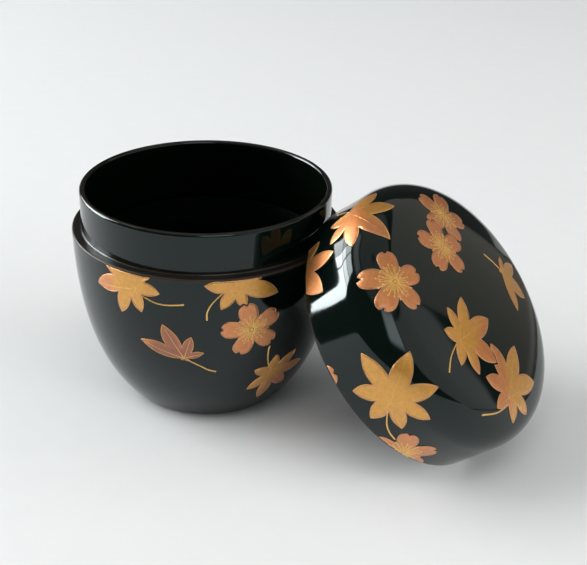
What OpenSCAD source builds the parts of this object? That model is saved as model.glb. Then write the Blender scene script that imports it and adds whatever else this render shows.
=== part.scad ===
// Lacquer tea caddy: a turned cup with a fitted collar ring, and a loose lid that leans on the collar.
// Maple leaves and cherry blossoms in metal powder lie on the black lacquer as thin raised films.
// The origin is the centre of the cup's foot, and +Z points up.

/* [Cup] */
// Widest diameter of the cup and the lid, at the line where they part
body_d = 66; // [56:0.5:76]
// Height of the shoulder that the lid seats on
shoulder_h = 44.5; // [38:0.5:54]
// Diameter of the flat foot
foot_d = 40; // [32:0.5:46]
// Height at which the straight side and the slope from the foot would meet
knee_h = 13; // [9:0.5:17]
// Wall of the cup, square to its outside
cup_wall = 2.6; // [2:0.1:4]
// Thickness of the cup's floor
floor_t = 4; // [2.5:0.1:6]
// Rounding of the cup's shoulder edge
shoulder_edge = 0.4; // [0.2:0.05:0.8]

/* [Collar] */
// Height of the collar above the shoulder
collar_h = 10; // [7:0.5:11.5]
// Wall of the collar ring
collar_wall = 1.5; // [1:0.1:2.2]
// Width of the flat land around the collar
land_w = 2.3; // [1.8:0.1:3.2]
// Depth of the collar's seat below the shoulder
seat_depth = 6; // [4:0.5:9]
// Lacquer bond between the collar and its seat
seat_bond = 0.05; // [0.03:0.01:0.12]

/* [Lid] */
// Height of the lid
lid_h = 24; // [20:0.5:30]
// Radius of the lid's rounded corner
lid_corner_r = 9.5; // [6:0.5:12]
// Radius of the lid's shallow dome
dome_r = 110; // [80:1:200]
// Thickness of the lid's top
lid_top = 2.4; // [1.6:0.1:3.5]
// Radial clearance between the collar and the lid
lid_fit = 0.15; // [0.1:0.01:0.3]
// Rounding of the lid's rim
rim_edge = 0.5; // [0.3:0.05:0.8]

/* [Lean] */
// How the lid lies: leaning on the collar as it is put down, or closed
lid_state = "leaning"; // [leaning, closed]
// Tilt of the lid's axis from upright
lean_tilt = 49; // [44:0.5:56]
// Direction from the cup's axis to the lid's mouth
lean_azimuth = -21.5; // [-60:0.5:60]
// Turn of the lid's axis away from that direction
lean_yaw = -6.5; // [-10:0.5:10]
// Turn of the lid about its own axis, from the turn at which the motifs line up
lid_turn = -72; // [-180:1:180]
// Gap left between the lid's rim and the collar
lean_gap = 0.1; // [0.05:0.01:0.3]

/* [Decoration] */
// Thickness of the metal powder film
film_t = 0.1; // [0.06:0.01:0.2]
// Thickness of the bed of lacquer under the film
film_bed = 0.03; // [0.02:0.01:0.06]
// Radius of a blossom
blossom_r = 7.3; // [5:0.1:8]
// Size of the maple leaves, as a share of their drawn size
leaf_scale = 1; // [0.7:0.05:1]
// Width of a leaf's stem
stem_w = 0.5; // [0.3:0.05:0.8]
// Bare margin between a film and one that overlaps it, as a share of its size
overlap_margin = 0.05; // [0.03:0.01:0.1]

/* [Hidden] */
$fn = 96;

body_r = body_d / 2;
foot_r = foot_d / 2;
collar_r = body_r - land_w;
bore_r = collar_r - collar_wall;
lid_bore_r = collar_r + lid_fit;
lid_wall = body_r - lid_bore_r;

// Steps along the curved outlines
side_steps = 30;
corner_steps = 16;
dome_steps = 8;
edge_steps = 5;
lip_steps = 12;
lobe_steps = 5;

// Share of a lobe's length at which its neighbours part, and the bulge of its sides
notch_share = 0.5;
lobe_bulge = 0.25;

// A petal along x, as shares of the blossom's radius: its waist, its widest place, the pulls of the curves
// on either side of that, and the tooth beside the nick at its tip
petals = 5;
petal_waist = 0.44;
petal_belly = [0.68, 0.32];
root_pull = [0.5, 0.32];
tip_pull = [0.94, 0.32];
petal_tooth = [1, 0.09];
petal_nick = 0.91;
petal_steps = 3;

// Depth and rise of the punch that cuts a film's outline through its shell
punch_depth = 9;
punch_rise = 4;

black = [0.06, 0.065, 0.07];
gold = [0.80, 0.59, 0.29];
copper = [0.75, 0.43, 0.31];
russet = [0.55, 0.33, 0.27];

// Motifs of the closed caddy: name, colour, azimuth, place, shape, stem, and the motif that covers it.
// The place is a distance up the lid's outside or, below zero, a drop down the cup from the parting line.
// A leaf's shape is its lobes as [angle, length], like its stem, and a blossom's is its first petal's turn.
// Angles in a motif run from the right hand, as it is seen from outside with the lid up.
NAME = 0;
COLOUR = 1;
AZIMUTH = 2;
PLACE = 3;
SHAPE = 4;
STEM = 5;
COVER = 6;
SCATTER = [
    ["left_maple", gold, -117, -2.6,
        [[-161, 10.8], [-109, 9.3], [-70, 7.8], [-12, 7.6], [38, 8.5], [85, 10], [148, 9.5]],
        [[-45, 4], [-34, 7.6], [-25, 10.2], [-17, 13]], ""],
    ["crossing_maple", gold, -73.5, -2.1,
        [[-124, 6.6], [-72, 6], [-18, 10.4], [42, 11.6], [90, 11.6], [137, 8.6], [174, 7.4]],
        [[-160, 3.4], [-147, 6.8], [-138, 9.2], [-130, 10.5]], "front_blossom"],
    ["side_maple", russet, -95.5, -21.3,
        [[-30, 1.5], [20, 5], [73, 6.7], [117, 10.3], [162, 10.8], [215, 1]],
        [[-33, 0.6], [-33, 4.5], [-35, 6.5], [-32, 8.2]], ""],
    ["front_blossom", copper, -67, -13.9, 30, [], ""],
    ["low_maple", gold, -54, -29.1,
        [[-141, 7.4], [-98, 10], [-52, 8.6], [-8, 10.4], [36, 8.2], [84, 5.8], [157, 5.6]],
        [[119, 2.6], [111, 5.9], [106, 8.4], [103, 9.4]], ""],
    ["right_blossom", copper, -28, -5.4, 18, [], ""],
    ["seam_blossom", copper, 15, 1.4, 54, [], ""],
    ["back_maple", gold, 62, -14,
        [[-150, 7], [-98, 9.5], [-48, 9], [0, 7.4], [50, 8], [95, 10.5], [148, 9.5]],
        [[-175, 3.4], [-168, 7], [-158, 10.5]], ""],
    ["back_side_maple", russet, 96, -24,
        [[-30, 1.5], [20, 5], [73, 6.7], [117, 10.3], [162, 10.8], [215, 1]],
        [[-33, 0.6], [-33, 4.5], [-35, 6.5], [-32, 8.2]], ""],
    ["back_blossom", copper, 122, -10, 0, [], ""],
    ["rear_maple", gold, 154, 0.5,
        [[-158, 8], [-112, 10.5], [-62, 10], [-12, 8], [40, 9], [86, 11], [140, 9.5]],
        [[175, 3.4], [166, 7], [158, 10]], ""],
    ["shoulder_maple", gold, -88.5, 13.2,
        [[-97, 6.8], [-41, 7.8], [10, 9.8], [54, 10.3], [123, 9.1], [163, 10.2]],
        [[-150, 3.6], [-141, 6.4], [-133, 9.4]], ""],
    ["near_blossom", copper, -52.9, 23.2, 40, [], ""],
    ["upper_blossom", copper, -130.5, 29.7, 19, [], "lower_blossom"],
    ["lower_blossom", copper, -100.5, 36.1, 15, [], ""],
    ["edge_maple", gold, 159.5, 35.1,
        [[60, 1.6], [158, 10.1], [208, 10.1], [264, 9], [306, 5.2]],
        [[10, 0.3], [26, 4.2], [29, 7]], ""],
    ["centre_maple", gold, -5, 34.7,
        [[-150, 5.8], [-65, 6.8], [-24, 8.9], [17, 11.4], [70, 11.4], [121, 9.8], [160, 7.4]],
        [[-105, 3], [-94, 6.9], [-84, 9.9]], ""],
    ["far_maple", gold, 47.5, 27.8,
        [[-152, 7.2], [-88, 7.4], [-44, 8.8], [4, 12.2], [57, 11.6], [108, 11.4], [156, 9]],
        [[-122, 3.6], [-143, 7.6], [-159, 11.9]], "centre_maple"],
    ["large_maple", gold, -10.5, 11.6,
        [[-121, 9.6], [-75, 9.2], [-30, 9.2], [16, 9.2], [63, 8.6], [129, 9.6], [-174, 11.2]],
        [[-58, 4.4], [-52, 8.6], [-46, 11.2], [-41, 12.8]], ""],
    ["hidden_blossom", copper, 205, 10, 10, [], ""],
];

// A motif lies on the cup, on the lid or, where it crosses the parting line, on both
least_film = 0.3;
function motif_heights(motif) =
    is_list(motif[SHAPE])
    ? [for (p = concat(motif[SHAPE], motif[STEM])) motif[PLACE] + leaf_scale * p[1] * sin(p[0])]
    : [for (i = [0:petals - 1]) motif[PLACE] + blossom_r * sin(motif[SHAPE] + 360 * i / petals)];
function on_cup(motif) = min(motif_heights(motif)) < -shoulder_edge - least_film;
function on_lid(motif) = max(motif_heights(motif)) > rim_edge + least_film;

CUP_MOTIFS = [for (motif = SCATTER) if (on_cup(motif)) motif];
LID_MOTIFS = [for (motif = SCATTER) if (on_lid(motif)) motif];

function polar(radius, angle) = radius * [cos(angle), sin(angle)];

function arc(centre, radius, from, to, steps) =
    [for (i = [0:steps]) centre + polar(radius, from + (to - from) * i / steps)];

// Outside of the cup: a curve from the upright shoulder (share 0) round the knee to the foot (share 1)
function side_point(share) = [
    body_r - (body_r - foot_r) * share * share,
    shoulder_h * (1 - share) * (1 - share) + 2 * knee_h * share * (1 - share)
];
function side_slope(share) = [
    (body_r - foot_r) * share,
    shoulder_h * (1 - share) - knee_h * (1 - 2 * share)
];
function side_normal_angle(share) = -atan2(side_slope(share)[0], side_slope(share)[1]);
function side_offset(share, offset) = side_point(share) + polar(offset, side_normal_angle(share));
// Share along the curve at which it is a given drop below the shoulder
function side_share(drop) =
    let (a = shoulder_h - 2 * knee_h, b = knee_h - shoulder_h)
    abs(a) < 0.001 ? drop / (-2 * b) : (-b - sqrt(b * b - a * drop)) / a;
edge_share = side_share(shoulder_edge);
function side_curve(from, to, offset) =
    [for (i = [0:side_steps]) side_offset(from + (to - from) * i / side_steps, offset)];

// Outside of the lid: an upright skirt, a round corner and a shallow dome, by the distance up from the rim
function corner_h(height, radius, corner, dome) =
    height - dome + sqrt((dome - corner) ^ 2 - (radius - corner) ^ 2);
skirt_h = corner_h(lid_h, body_r, lid_corner_r, dome_r);
corner_end = acos((body_r - lid_corner_r) / (dome_r - lid_corner_r));
corner_length = lid_corner_r * corner_end * PI / 180;
corner_centre = [body_r - lid_corner_r, skirt_h];
dome_centre = [0, lid_h - dome_r];
function lid_normal_angle(rise) =
    rise <= skirt_h ? 0
    : rise <= skirt_h + corner_length ? (rise - skirt_h) / lid_corner_r * 180 / PI
    : corner_end + (rise - skirt_h - corner_length) / dome_r * 180 / PI;
function lid_offset(rise, offset) =
    let (angle = lid_normal_angle(rise))
    rise <= skirt_h ? [body_r + offset, rise]
    : rise <= skirt_h + corner_length ? corner_centre + polar(lid_corner_r + offset, angle)
    : dome_centre + polar(dome_r + offset, angle);
// Corner and dome as one outline, from the skirt up to the axis
function lid_crown(offset) = concat(
    arc(corner_centre, lid_corner_r + offset, 0, corner_end, corner_steps),
    arc(dome_centre, dome_r + offset, corner_end + (90 - corner_end) / dome_steps, 90, dome_steps - 1)
);

// Where the lid leans: its rim stands on the floor and touches the collar, or the cup's side below it
axis_azimuth = lean_azimuth + lean_yaw;
lean_axis = [sin(lean_tilt) * cos(axis_azimuth), sin(lean_tilt) * sin(axis_azimuth), cos(lean_tilt)];
lean_up = [-cos(lean_tilt) * cos(axis_azimuth), -cos(lean_tilt) * sin(axis_azimuth), sin(lean_tilt)];
lean_side = cross(lean_up, lean_axis);
rim_ring_r = body_r - rim_edge;
// Angles to each side of the rim's top that are searched for the contact, and rounds to settle it
contact_span = 60;
settle_rounds = 6;
lean_lift = rim_ring_r * lean_up[2] - rim_edge * lean_axis[2] + rim_edge;
function lean_centre(reach) =
    [reach * cos(lean_azimuth), reach * sin(lean_azimuth), lean_lift];
function rim_point(reach, angle) =
    lean_centre(reach) + rim_edge * lean_axis
    + rim_ring_r * (cos(angle) * lean_up + sin(angle) * lean_side);
function outside_r(height) =
    height > shoulder_h + rim_edge + lean_gap ? collar_r
    : side_point(side_share(max(0, shoulder_h - height)))[0] + film_bed + film_t;
function rim_clearance(reach) =
    min([for (angle = [-contact_span:contact_span])
        let (p = rim_point(reach, angle)) norm([p[0], p[1]]) - outside_r(p[2])]) - rim_edge;
function settled(reach, rounds) =
    rounds <= 0 ? reach
    : settled(reach + lean_gap - rim_clearance(reach), rounds - 1);
lean_reach = settled(collar_r + body_r * cos(lean_tilt), settle_rounds);

module lid_place() {
    if (lid_state == "closed")
        translate([0, 0, shoulder_h]) children();
    else
        translate(lean_centre(lean_reach))
            rotate([0, 0, axis_azimuth])
                rotate([0, lean_tilt, 0])
                    rotate([0, 0, lid_turn]) children();
}

module cup() {
    edge_top = side_point(edge_share);
    seat_r = collar_r + seat_bond;
    color(black)
        rotate_extrude()
            difference() {
                polygon(concat(
                    [[0, 0]],
                    side_curve(1, edge_share, 0),
                    arc(edge_top - [shoulder_edge, 0], shoulder_edge, 90 / edge_steps, 90, edge_steps - 1),
                    [[0, shoulder_h]]
                ));
                intersection() {
                    polygon(concat([[0, shoulder_h], [0, 0]], side_curve(1, 0, -cup_wall)));
                    translate([0, floor_t]) square([bore_r, shoulder_h]);
                }
                translate([0, shoulder_h - seat_depth]) square([seat_r, seat_depth]);
            }
}

module collar() {
    lip_r = collar_wall / 2;
    lip_centre = [collar_r - lip_r, shoulder_h + collar_h - lip_r];
    color(black)
        rotate_extrude()
            polygon(concat(
                [[bore_r, shoulder_h - seat_depth], [collar_r, shoulder_h - seat_depth]],
                arc(lip_centre, lip_r, 0, 180, lip_steps)
            ));
}

module lid() {
    inner_corner = lid_corner_r - lid_wall;
    inner_dome = dome_r - lid_top;
    inner_h = lid_h - lid_top;
    inner_skirt = corner_h(inner_h, lid_bore_r, inner_corner, inner_dome);
    inner_end = acos((lid_bore_r - inner_corner) / (inner_dome - inner_corner));
    color(black)
        lid_place()
            rotate_extrude()
                polygon(concat(
                    arc([body_r - rim_edge, rim_edge], rim_edge, -90, 0, edge_steps),
                    lid_crown(0),
                    arc([0, inner_h - inner_dome], inner_dome, 90, inner_end, dome_steps),
                    arc([lid_bore_r - inner_corner, inner_skirt], inner_corner,
                        inner_end * (1 - 1 / corner_steps), 0, corner_steps - 1),
                    arc([lid_bore_r + rim_edge, rim_edge], rim_edge, 180, 270, edge_steps)
                ));
}

// Leaf outline: each lobe runs from a notch out to its tip and back, with bulging sides
function notch(one, next) =
    let (gap = (next[0] - one[0] + 720) % 360)
    polar(notch_share * min(one[1], next[1]) * leaf_scale, one[0] + gap / 2);
function bent(from, pull, to, steps) =
    [for (i = [0:steps - 1]) let (t = i / steps)
        (1 - t) ^ 2 * from + 2 * t * (1 - t) * pull + t ^ 2 * to];
function bulged(from, to, bulge) =
    let (way = to - from)
    bent(from, (from + to) / 2 + bulge * [way[1], -way[0]], to, lobe_steps);
function leaf_outline(lobes) =
    let (last = len(lobes) - 1)
    [for (i = [0:last])
        let (tip = polar(lobes[i][1] * leaf_scale, lobes[i][0]))
        let (before = notch(lobes[i == 0 ? last : i - 1], lobes[i]))
        let (after = notch(lobes[i], lobes[i == last ? 0 : i + 1]))
        each concat(bulged(before, tip, lobe_bulge), bulged(tip, after, lobe_bulge))];

// Stem outline: a strip of even width along the stem's points
function stem_points(stem) = [for (p = stem) polar(p[1] * leaf_scale, p[0])];
function strip_side(points, i, offset) =
    let (last = len(points) - 1)
    let (way = points[min(i + 1, last)] - points[max(i - 1, 0)])
    points[i] + offset / norm(way) * [-way[1], way[0]];
function strip(points, width) = concat(
    [for (i = [0:len(points) - 1]) strip_side(points, i, -width / 2)],
    [for (i = [len(points) - 1:-1:0]) strip_side(points, i, width / 2)]
);

// Blossom outline: petals that swell from the waist, with a nick between two teeth at each tip
petal_left = concat(
    bent(petal_tooth, tip_pull, petal_belly, petal_steps),
    bent(petal_belly, root_pull, polar(petal_waist, 180 / petals), petal_steps)
);
petal = concat(
    [polar(petal_waist, -180 / petals)],
    [for (i = [len(petal_left) - 1:-1:0]) [petal_left[i][0], -petal_left[i][1]]],
    [[petal_nick, 0]],
    petal_left
);
function turned(point, angle) =
    [point[0] * cos(angle) - point[1] * sin(angle), point[0] * sin(angle) + point[1] * cos(angle)];
function blossom_outline(turn) =
    [for (i = [0:petals - 1]) for (point = petal) blossom_r * turned(point, turn + 360 * i / petals)];

module motif_shape(motif) {
    if (is_list(motif[SHAPE])) {
        polygon(leaf_outline(motif[SHAPE]));
        polygon(strip(stem_points(motif[STEM]), stem_w));
    } else
        polygon(blossom_outline(motif[SHAPE]));
}

// The motif's outline as a punch through the surface, along the surface's normal at its centre
module punch(motif, grow = 1) {
    on_side = motif[PLACE] < 0;
    share = on_side ? side_share(-motif[PLACE]) : 0;
    seat = on_side ? side_point(share) - [0, shoulder_h] : lid_offset(motif[PLACE], 0);
    tilt = on_side ? side_normal_angle(share) : lid_normal_angle(motif[PLACE]);
    rotate([0, 0, motif[AZIMUTH]])
        translate([seat[0], 0, seat[1]])
            rotate([0, -tilt, 0])
                rotate([90, 0, 90])
                    translate([0, 0, -punch_depth])
                        linear_extrude(punch_depth + punch_rise)
                            scale(grow) motif_shape(motif);
}

// A film: the motif's punch through a shell on the lacquer, less what lies over it
module film(motif) {
    difference() {
        intersection() {
            children();
            punch(motif);
        }
        for (other = SCATTER)
            if (other[NAME] == motif[COVER]) punch(other, 1 + overlap_margin);
    }
}

module cup_shell() {
    rotate_extrude()
        polygon([
            each side_curve(edge_share, 1, film_bed + film_t),
            each side_curve(1, edge_share, film_bed)
        ]);
}

module lid_shell() {
    crown = lid_crown(film_bed);
    rotate_extrude()
        polygon([
            [body_r + film_bed + film_t, rim_edge],
            each lid_crown(film_bed + film_t),
            each [for (i = [len(crown) - 1:-1:0]) crown[i]],
            [body_r + film_bed, rim_edge]
        ]);
}

module cup_film(motif) {
    color(motif[COLOUR])
        translate([0, 0, shoulder_h])
            film(motif) translate([0, 0, -shoulder_h]) cup_shell();
}

module lid_film(motif) {
    color(motif[COLOUR])
        lid_place()
            film(motif) lid_shell();
}

cup();
collar();
lid();
for (motif = CUP_MOTIFS)
    cup_film(motif);
for (motif = LID_MOTIFS)
    lid_film(motif);
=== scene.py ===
"""Looks of a lacquer tea caddy: a black cup with a collar and a leaning lid, strewn with leaves and blossoms.

Pieces are turned and drawn in millimetres about the axis of the closed caddy, with its parting line at
height 0, and go into the scene in metres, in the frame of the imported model.
"""

import logging
import math
from abc import ABC, abstractmethod
from collections.abc import Sequence
from dataclasses import dataclass, field
from enum import Enum, IntEnum

import bmesh
import bpy
import numpy as np
from mathutils import Matrix, Vector
from mathutils.geometry import delaunay_2d_cdt


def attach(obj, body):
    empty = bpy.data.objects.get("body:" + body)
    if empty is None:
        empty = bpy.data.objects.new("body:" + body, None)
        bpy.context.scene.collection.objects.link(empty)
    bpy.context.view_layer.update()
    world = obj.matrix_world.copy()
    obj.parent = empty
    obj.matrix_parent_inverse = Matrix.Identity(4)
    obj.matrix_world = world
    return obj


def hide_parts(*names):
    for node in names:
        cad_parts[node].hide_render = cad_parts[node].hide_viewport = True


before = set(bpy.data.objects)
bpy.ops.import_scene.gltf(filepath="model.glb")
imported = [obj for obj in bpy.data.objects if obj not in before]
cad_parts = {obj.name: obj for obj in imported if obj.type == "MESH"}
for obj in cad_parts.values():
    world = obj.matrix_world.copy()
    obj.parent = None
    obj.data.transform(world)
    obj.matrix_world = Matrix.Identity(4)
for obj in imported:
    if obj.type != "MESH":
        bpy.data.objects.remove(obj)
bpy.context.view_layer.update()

LOG = logging.getLogger("tea_caddy")
MM = 0.001
TURN_SEGMENTS = 256
LANDING_ROUNDS = 8
TINY = 1e-9
CUP_BODY = "caddy_cup"
LID_BODY = "caddy_lid"

Colour = tuple[float, float, float]
Span = tuple[float, float]


class Slot(Enum):
    """The record's material slots."""

    LACQUER = "black_lacquer"
    GOLD = "gold_powder"
    COPPER = "copper_powder"
    RUSSET = "russet_powder"


class Lacquer(IntEnum):
    """Places of the lacquers among a turned piece's materials."""

    OUTSIDE = 0
    INSIDE = 1
    LAND = 2


class Layer(IntEnum):
    """Places of the powder and of the raised lines among a film's materials."""

    POWDER = 0
    LINES = 1


# Turned shapes


def arc(centre: Sequence[float], radius: float, start: float, stop: float, steps: int) -> np.ndarray:
    """Points of an arc.

    Args:
        centre: Middle of the arc's circle.
        radius: Radius of the circle.
        start: First angle in degrees.
        stop: Last angle in degrees.
        steps: Number of steps between the two.

    Returns:
        The points, one row each.
    """
    angles = np.radians(np.linspace(start, stop, steps + 1))
    return np.asarray(centre) + radius * np.stack([np.cos(angles), np.sin(angles)], axis=1)


def upright(radius: float, start: float, stop: float, steps: int) -> np.ndarray:
    """Points of an upright wall, less its two ends.

    Args:
        radius: Radius of the wall.
        start: Height of its first end.
        stop: Height of its last end.
        steps: Number of steps between the two.

    Returns:
        Radius and height of each point.
    """
    heights = np.linspace(start, stop, steps + 1)[1:-1]
    return np.stack([np.full(len(heights), radius), heights], axis=1)


class TurnedSurface(ABC):
    """Outside of a turned piece of the closed caddy."""

    @abstractmethod
    def station(self, place: float) -> tuple[float, float, float]:
        """Gives a place's radius, height and normal angle in radians.

        Args:
            place: Distance up the lid or, below zero, drop down the cup, from the parting line.

        Returns:
            Radius, height and the angle of the normal above the horizon.
        """

    @abstractmethod
    def gap(self, points: np.ndarray) -> tuple[np.ndarray, np.ndarray]:
        """Measures points against the surface.

        Args:
            points: Points in millimetres, one row each.

        Returns:
            The distance out of the surface, and the surface's normal, for each point.
        """

    @staticmethod
    def spun(points: np.ndarray, radial: np.ndarray, upward: np.ndarray) -> np.ndarray:
        """Turns radial and upward parts into vectors at the points' azimuths.

        Args:
            points: Points whose azimuths count.
            radial: Part away from the axis.
            upward: Part along the axis.

        Returns:
            One vector for each point.
        """
        reach = np.maximum(np.hypot(points[:, 0], points[:, 1]), TINY)
        return np.stack([points[:, 0] / reach * radial, points[:, 1] / reach * radial, upward], axis=1)


@dataclass(frozen=True)
class CupSide(TurnedSurface):
    """The cup's outside: a curve from the upright shoulder round the knee to the foot."""

    body_r: float = 33.0
    shoulder_h: float = 44.5
    foot_r: float = 20.0
    knee_h: float = 13.0

    def share_at(self, drop: np.ndarray | float) -> np.ndarray | float:
        """Finds a drop on the curve.

        Args:
            drop: Drop, or drops, below the shoulder.

        Returns:
            Share along the curve, 0 at the shoulder and 1 at the foot.
        """
        bend = self.shoulder_h - 2 * self.knee_h
        fall = self.shoulder_h - self.knee_h
        return (fall - np.sqrt(fall * fall - bend * drop)) / bend

    def angle_at(self, share: np.ndarray | float) -> np.ndarray | float:
        """Finds which way the side faces.

        Args:
            share: Share, or shares, along the curve.

        Returns:
            Angle of the normal above the horizon, in radians.
        """
        inward = (self.body_r - self.foot_r) * share
        downward = self.shoulder_h * (1 - share) - self.knee_h * (1 - 2 * share)
        return -np.arctan2(inward, downward)

    def curve(self, shares: np.ndarray, offset: float = 0.0) -> np.ndarray:
        """Outline of the side, moved along its normal.

        Args:
            shares: Shares along the curve, 0 at the shoulder and 1 at the foot.
            offset: Distance out of the side.

        Returns:
            Radius and height of each point, with the foot at height 0.
        """
        angles = self.angle_at(shares)
        radius = self.body_r - (self.body_r - self.foot_r) * shares**2 + offset * np.cos(angles)
        height = self.shoulder_h * (1 - shares) ** 2 + 2 * self.knee_h * shares * (1 - shares)
        return np.stack([radius, height + offset * np.sin(angles)], axis=1)

    def station(self, place: float) -> tuple[float, float, float]:
        """Gives the side's radius, height and normal angle at a place.

        Args:
            place: Drop below the parting line, as a value below zero.

        Returns:
            Radius, height and the angle of the normal above the horizon.
        """
        share = self.share_at(-place)
        return float(self.curve(np.array([share]))[0, 0]), place, float(self.angle_at(share))

    def gap(self, points: np.ndarray) -> tuple[np.ndarray, np.ndarray]:
        """Measures points against the side.

        Args:
            points: Points in millimetres, one row each.

        Returns:
            The distance out of the side, and its normal, for each point.
        """
        share = self.share_at(np.clip(-points[:, 2], 0, self.shoulder_h))
        angle = self.angle_at(share)
        reach = np.hypot(points[:, 0], points[:, 1])
        distance = (reach - self.curve(share)[:, 0]) * np.cos(angle)
        return distance, self.spun(points, np.cos(angle), np.sin(angle))


@dataclass(frozen=True)
class LidOutside(TurnedSurface):
    """The lid's outside: an upright skirt, a round corner and a shallow dome."""

    body_r: float = 33.0
    height: float = 24.0
    corner_r: float = 9.5
    dome_r: float = 110.0

    @property
    def corner_at(self) -> float:
        """Radius at which the corner's circle has its middle."""
        return self.body_r - self.corner_r

    @property
    def skirt_h(self) -> float:
        """Height at which the skirt turns into the corner."""
        return self.dome_at + math.sqrt((self.dome_r - self.corner_r) ** 2 - self.corner_at**2)

    @property
    def corner_end(self) -> float:
        """Angle in radians at which the corner turns into the dome."""
        return math.acos(self.corner_at / (self.dome_r - self.corner_r))

    @property
    def dome_at(self) -> float:
        """Height at which the dome's sphere has its middle."""
        return self.height - self.dome_r

    def crown(self, corner_steps: int, dome_steps: int) -> np.ndarray:
        """Outline from the skirt round the corner and over the dome to the axis.

        Args:
            corner_steps: Steps round the corner.
            dome_steps: Steps over the dome.

        Returns:
            Radius and height of each point.
        """
        end = math.degrees(self.corner_end)
        corner = arc((self.corner_at, self.skirt_h), self.corner_r, 0, end, corner_steps)
        dome = arc((0, self.dome_at), self.dome_r, end, 90, dome_steps)
        dome[-1, 0] = 0.0
        return np.concatenate([corner, dome[1:]])

    def station(self, place: float) -> tuple[float, float, float]:
        """Gives the outside's radius, height and normal angle at a place.

        Args:
            place: Distance up the outside from the parting line.

        Returns:
            Radius, height and the angle of the normal above the horizon.
        """
        bend = self.corner_r * self.corner_end
        if place <= self.skirt_h:
            return self.body_r, place, 0.0
        if place <= self.skirt_h + bend:
            angle = (place - self.skirt_h) / self.corner_r
            centre, radius = (self.corner_at, self.skirt_h), self.corner_r
        else:
            angle = self.corner_end + (place - self.skirt_h - bend) / self.dome_r
            centre, radius = (0.0, self.dome_at), self.dome_r
        return centre[0] + radius * math.cos(angle), centre[1] + radius * math.sin(angle), angle

    def gap(self, points: np.ndarray) -> tuple[np.ndarray, np.ndarray]:
        """Measures points against the lid.

        Args:
            points: Points in millimetres, one row each.

        Returns:
            The distance out of the lid, and its normal, for each point.
        """
        reach = np.hypot(points[:, 0], points[:, 1])
        height = points[:, 2]
        on_dome = np.arctan2(height - self.dome_at, reach) > self.corner_end
        out = reach - np.where(on_dome, 0.0, self.corner_at)
        up = height - np.where(on_dome, self.dome_at, self.skirt_h)
        length = np.maximum(np.hypot(out, up), TINY)
        on_skirt = height < self.skirt_h
        radius = np.where(on_dome, self.dome_r, self.corner_r)
        distance = np.where(on_skirt, reach - self.body_r, length - radius)
        radial = np.where(on_skirt, 1.0, out / length)
        return distance, self.spun(points, radial, np.where(on_skirt, 0.0, up / length))


CUP_SIDE = CupSide()
LID_OUTSIDE = LidOutside()


@dataclass
class MeshDraft:
    """Vertices in millimetres and faces of one piece, with the materials and values that they carry."""

    vertices: list[np.ndarray] = field(default_factory=list)
    faces: list[tuple[int, ...]] = field(default_factory=list)
    materials: list[int] = field(default_factory=list)
    values: dict[str, list[np.ndarray]] = field(default_factory=dict)
    count: int = 0

    def add(
        self,
        points: np.ndarray,
        faces: Sequence[Sequence[int]],
        material: int | np.ndarray = 0,
        **values: np.ndarray | float,
    ) -> None:
        """Adds a shell.

        Args:
            points: Its vertices, one row each.
            faces: Its faces, by the rows of points.
            material: Place of its material, or of each face's, in the piece's list.
            **values: Numbers for each vertex, by name, the same names for each shell of a piece.
        """
        self.vertices.append(points)
        self.faces.extend(tuple(self.count + i for i in face) for face in faces)
        self.materials.extend(np.broadcast_to(material, len(faces)).tolist())
        for name, numbers in values.items():
            self.values.setdefault(name, []).append(np.broadcast_to(numbers, len(points)))
        self.count += len(points)

    def piece(self, name: str, materials: Sequence[bpy.types.Material], place: Matrix) -> bpy.types.Object:
        """Makes the Blender object.

        Args:
            name: The object's name.
            materials: Its materials, in the order that the shells name them.
            place: Where it stands, in metres.

        Returns:
            The object, smooth shaded and linked to the scene.
        """
        own = np.concatenate(self.vertices) * MM
        turned = np.array(place.to_3x3())
        mesh = bpy.data.meshes.new(name)
        mesh.from_pydata((own @ turned.T + np.array(place.translation)).tolist(), [], self.faces)
        layer = mesh.attributes.new("own", "FLOAT_VECTOR", "POINT")
        layer.data.foreach_set("vector", own.astype(np.float32).ravel())
        for material in materials:
            mesh.materials.append(material)
        mesh.polygons.foreach_set("material_index", self.materials)
        for label, numbers in self.values.items():
            layer = mesh.attributes.new(label, "FLOAT", "POINT")
            layer.data.foreach_set("value", np.concatenate(numbers).astype(np.float32))
        editable = bmesh.new()
        editable.from_mesh(mesh)
        bmesh.ops.recalc_face_normals(editable, faces=editable.faces)
        editable.to_mesh(mesh)
        editable.free()
        mesh.polygons.foreach_set("use_smooth", [True] * len(mesh.polygons))
        mesh.update()
        made = bpy.data.objects.new(name, mesh)
        bpy.context.scene.collection.objects.link(made)
        return made


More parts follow.
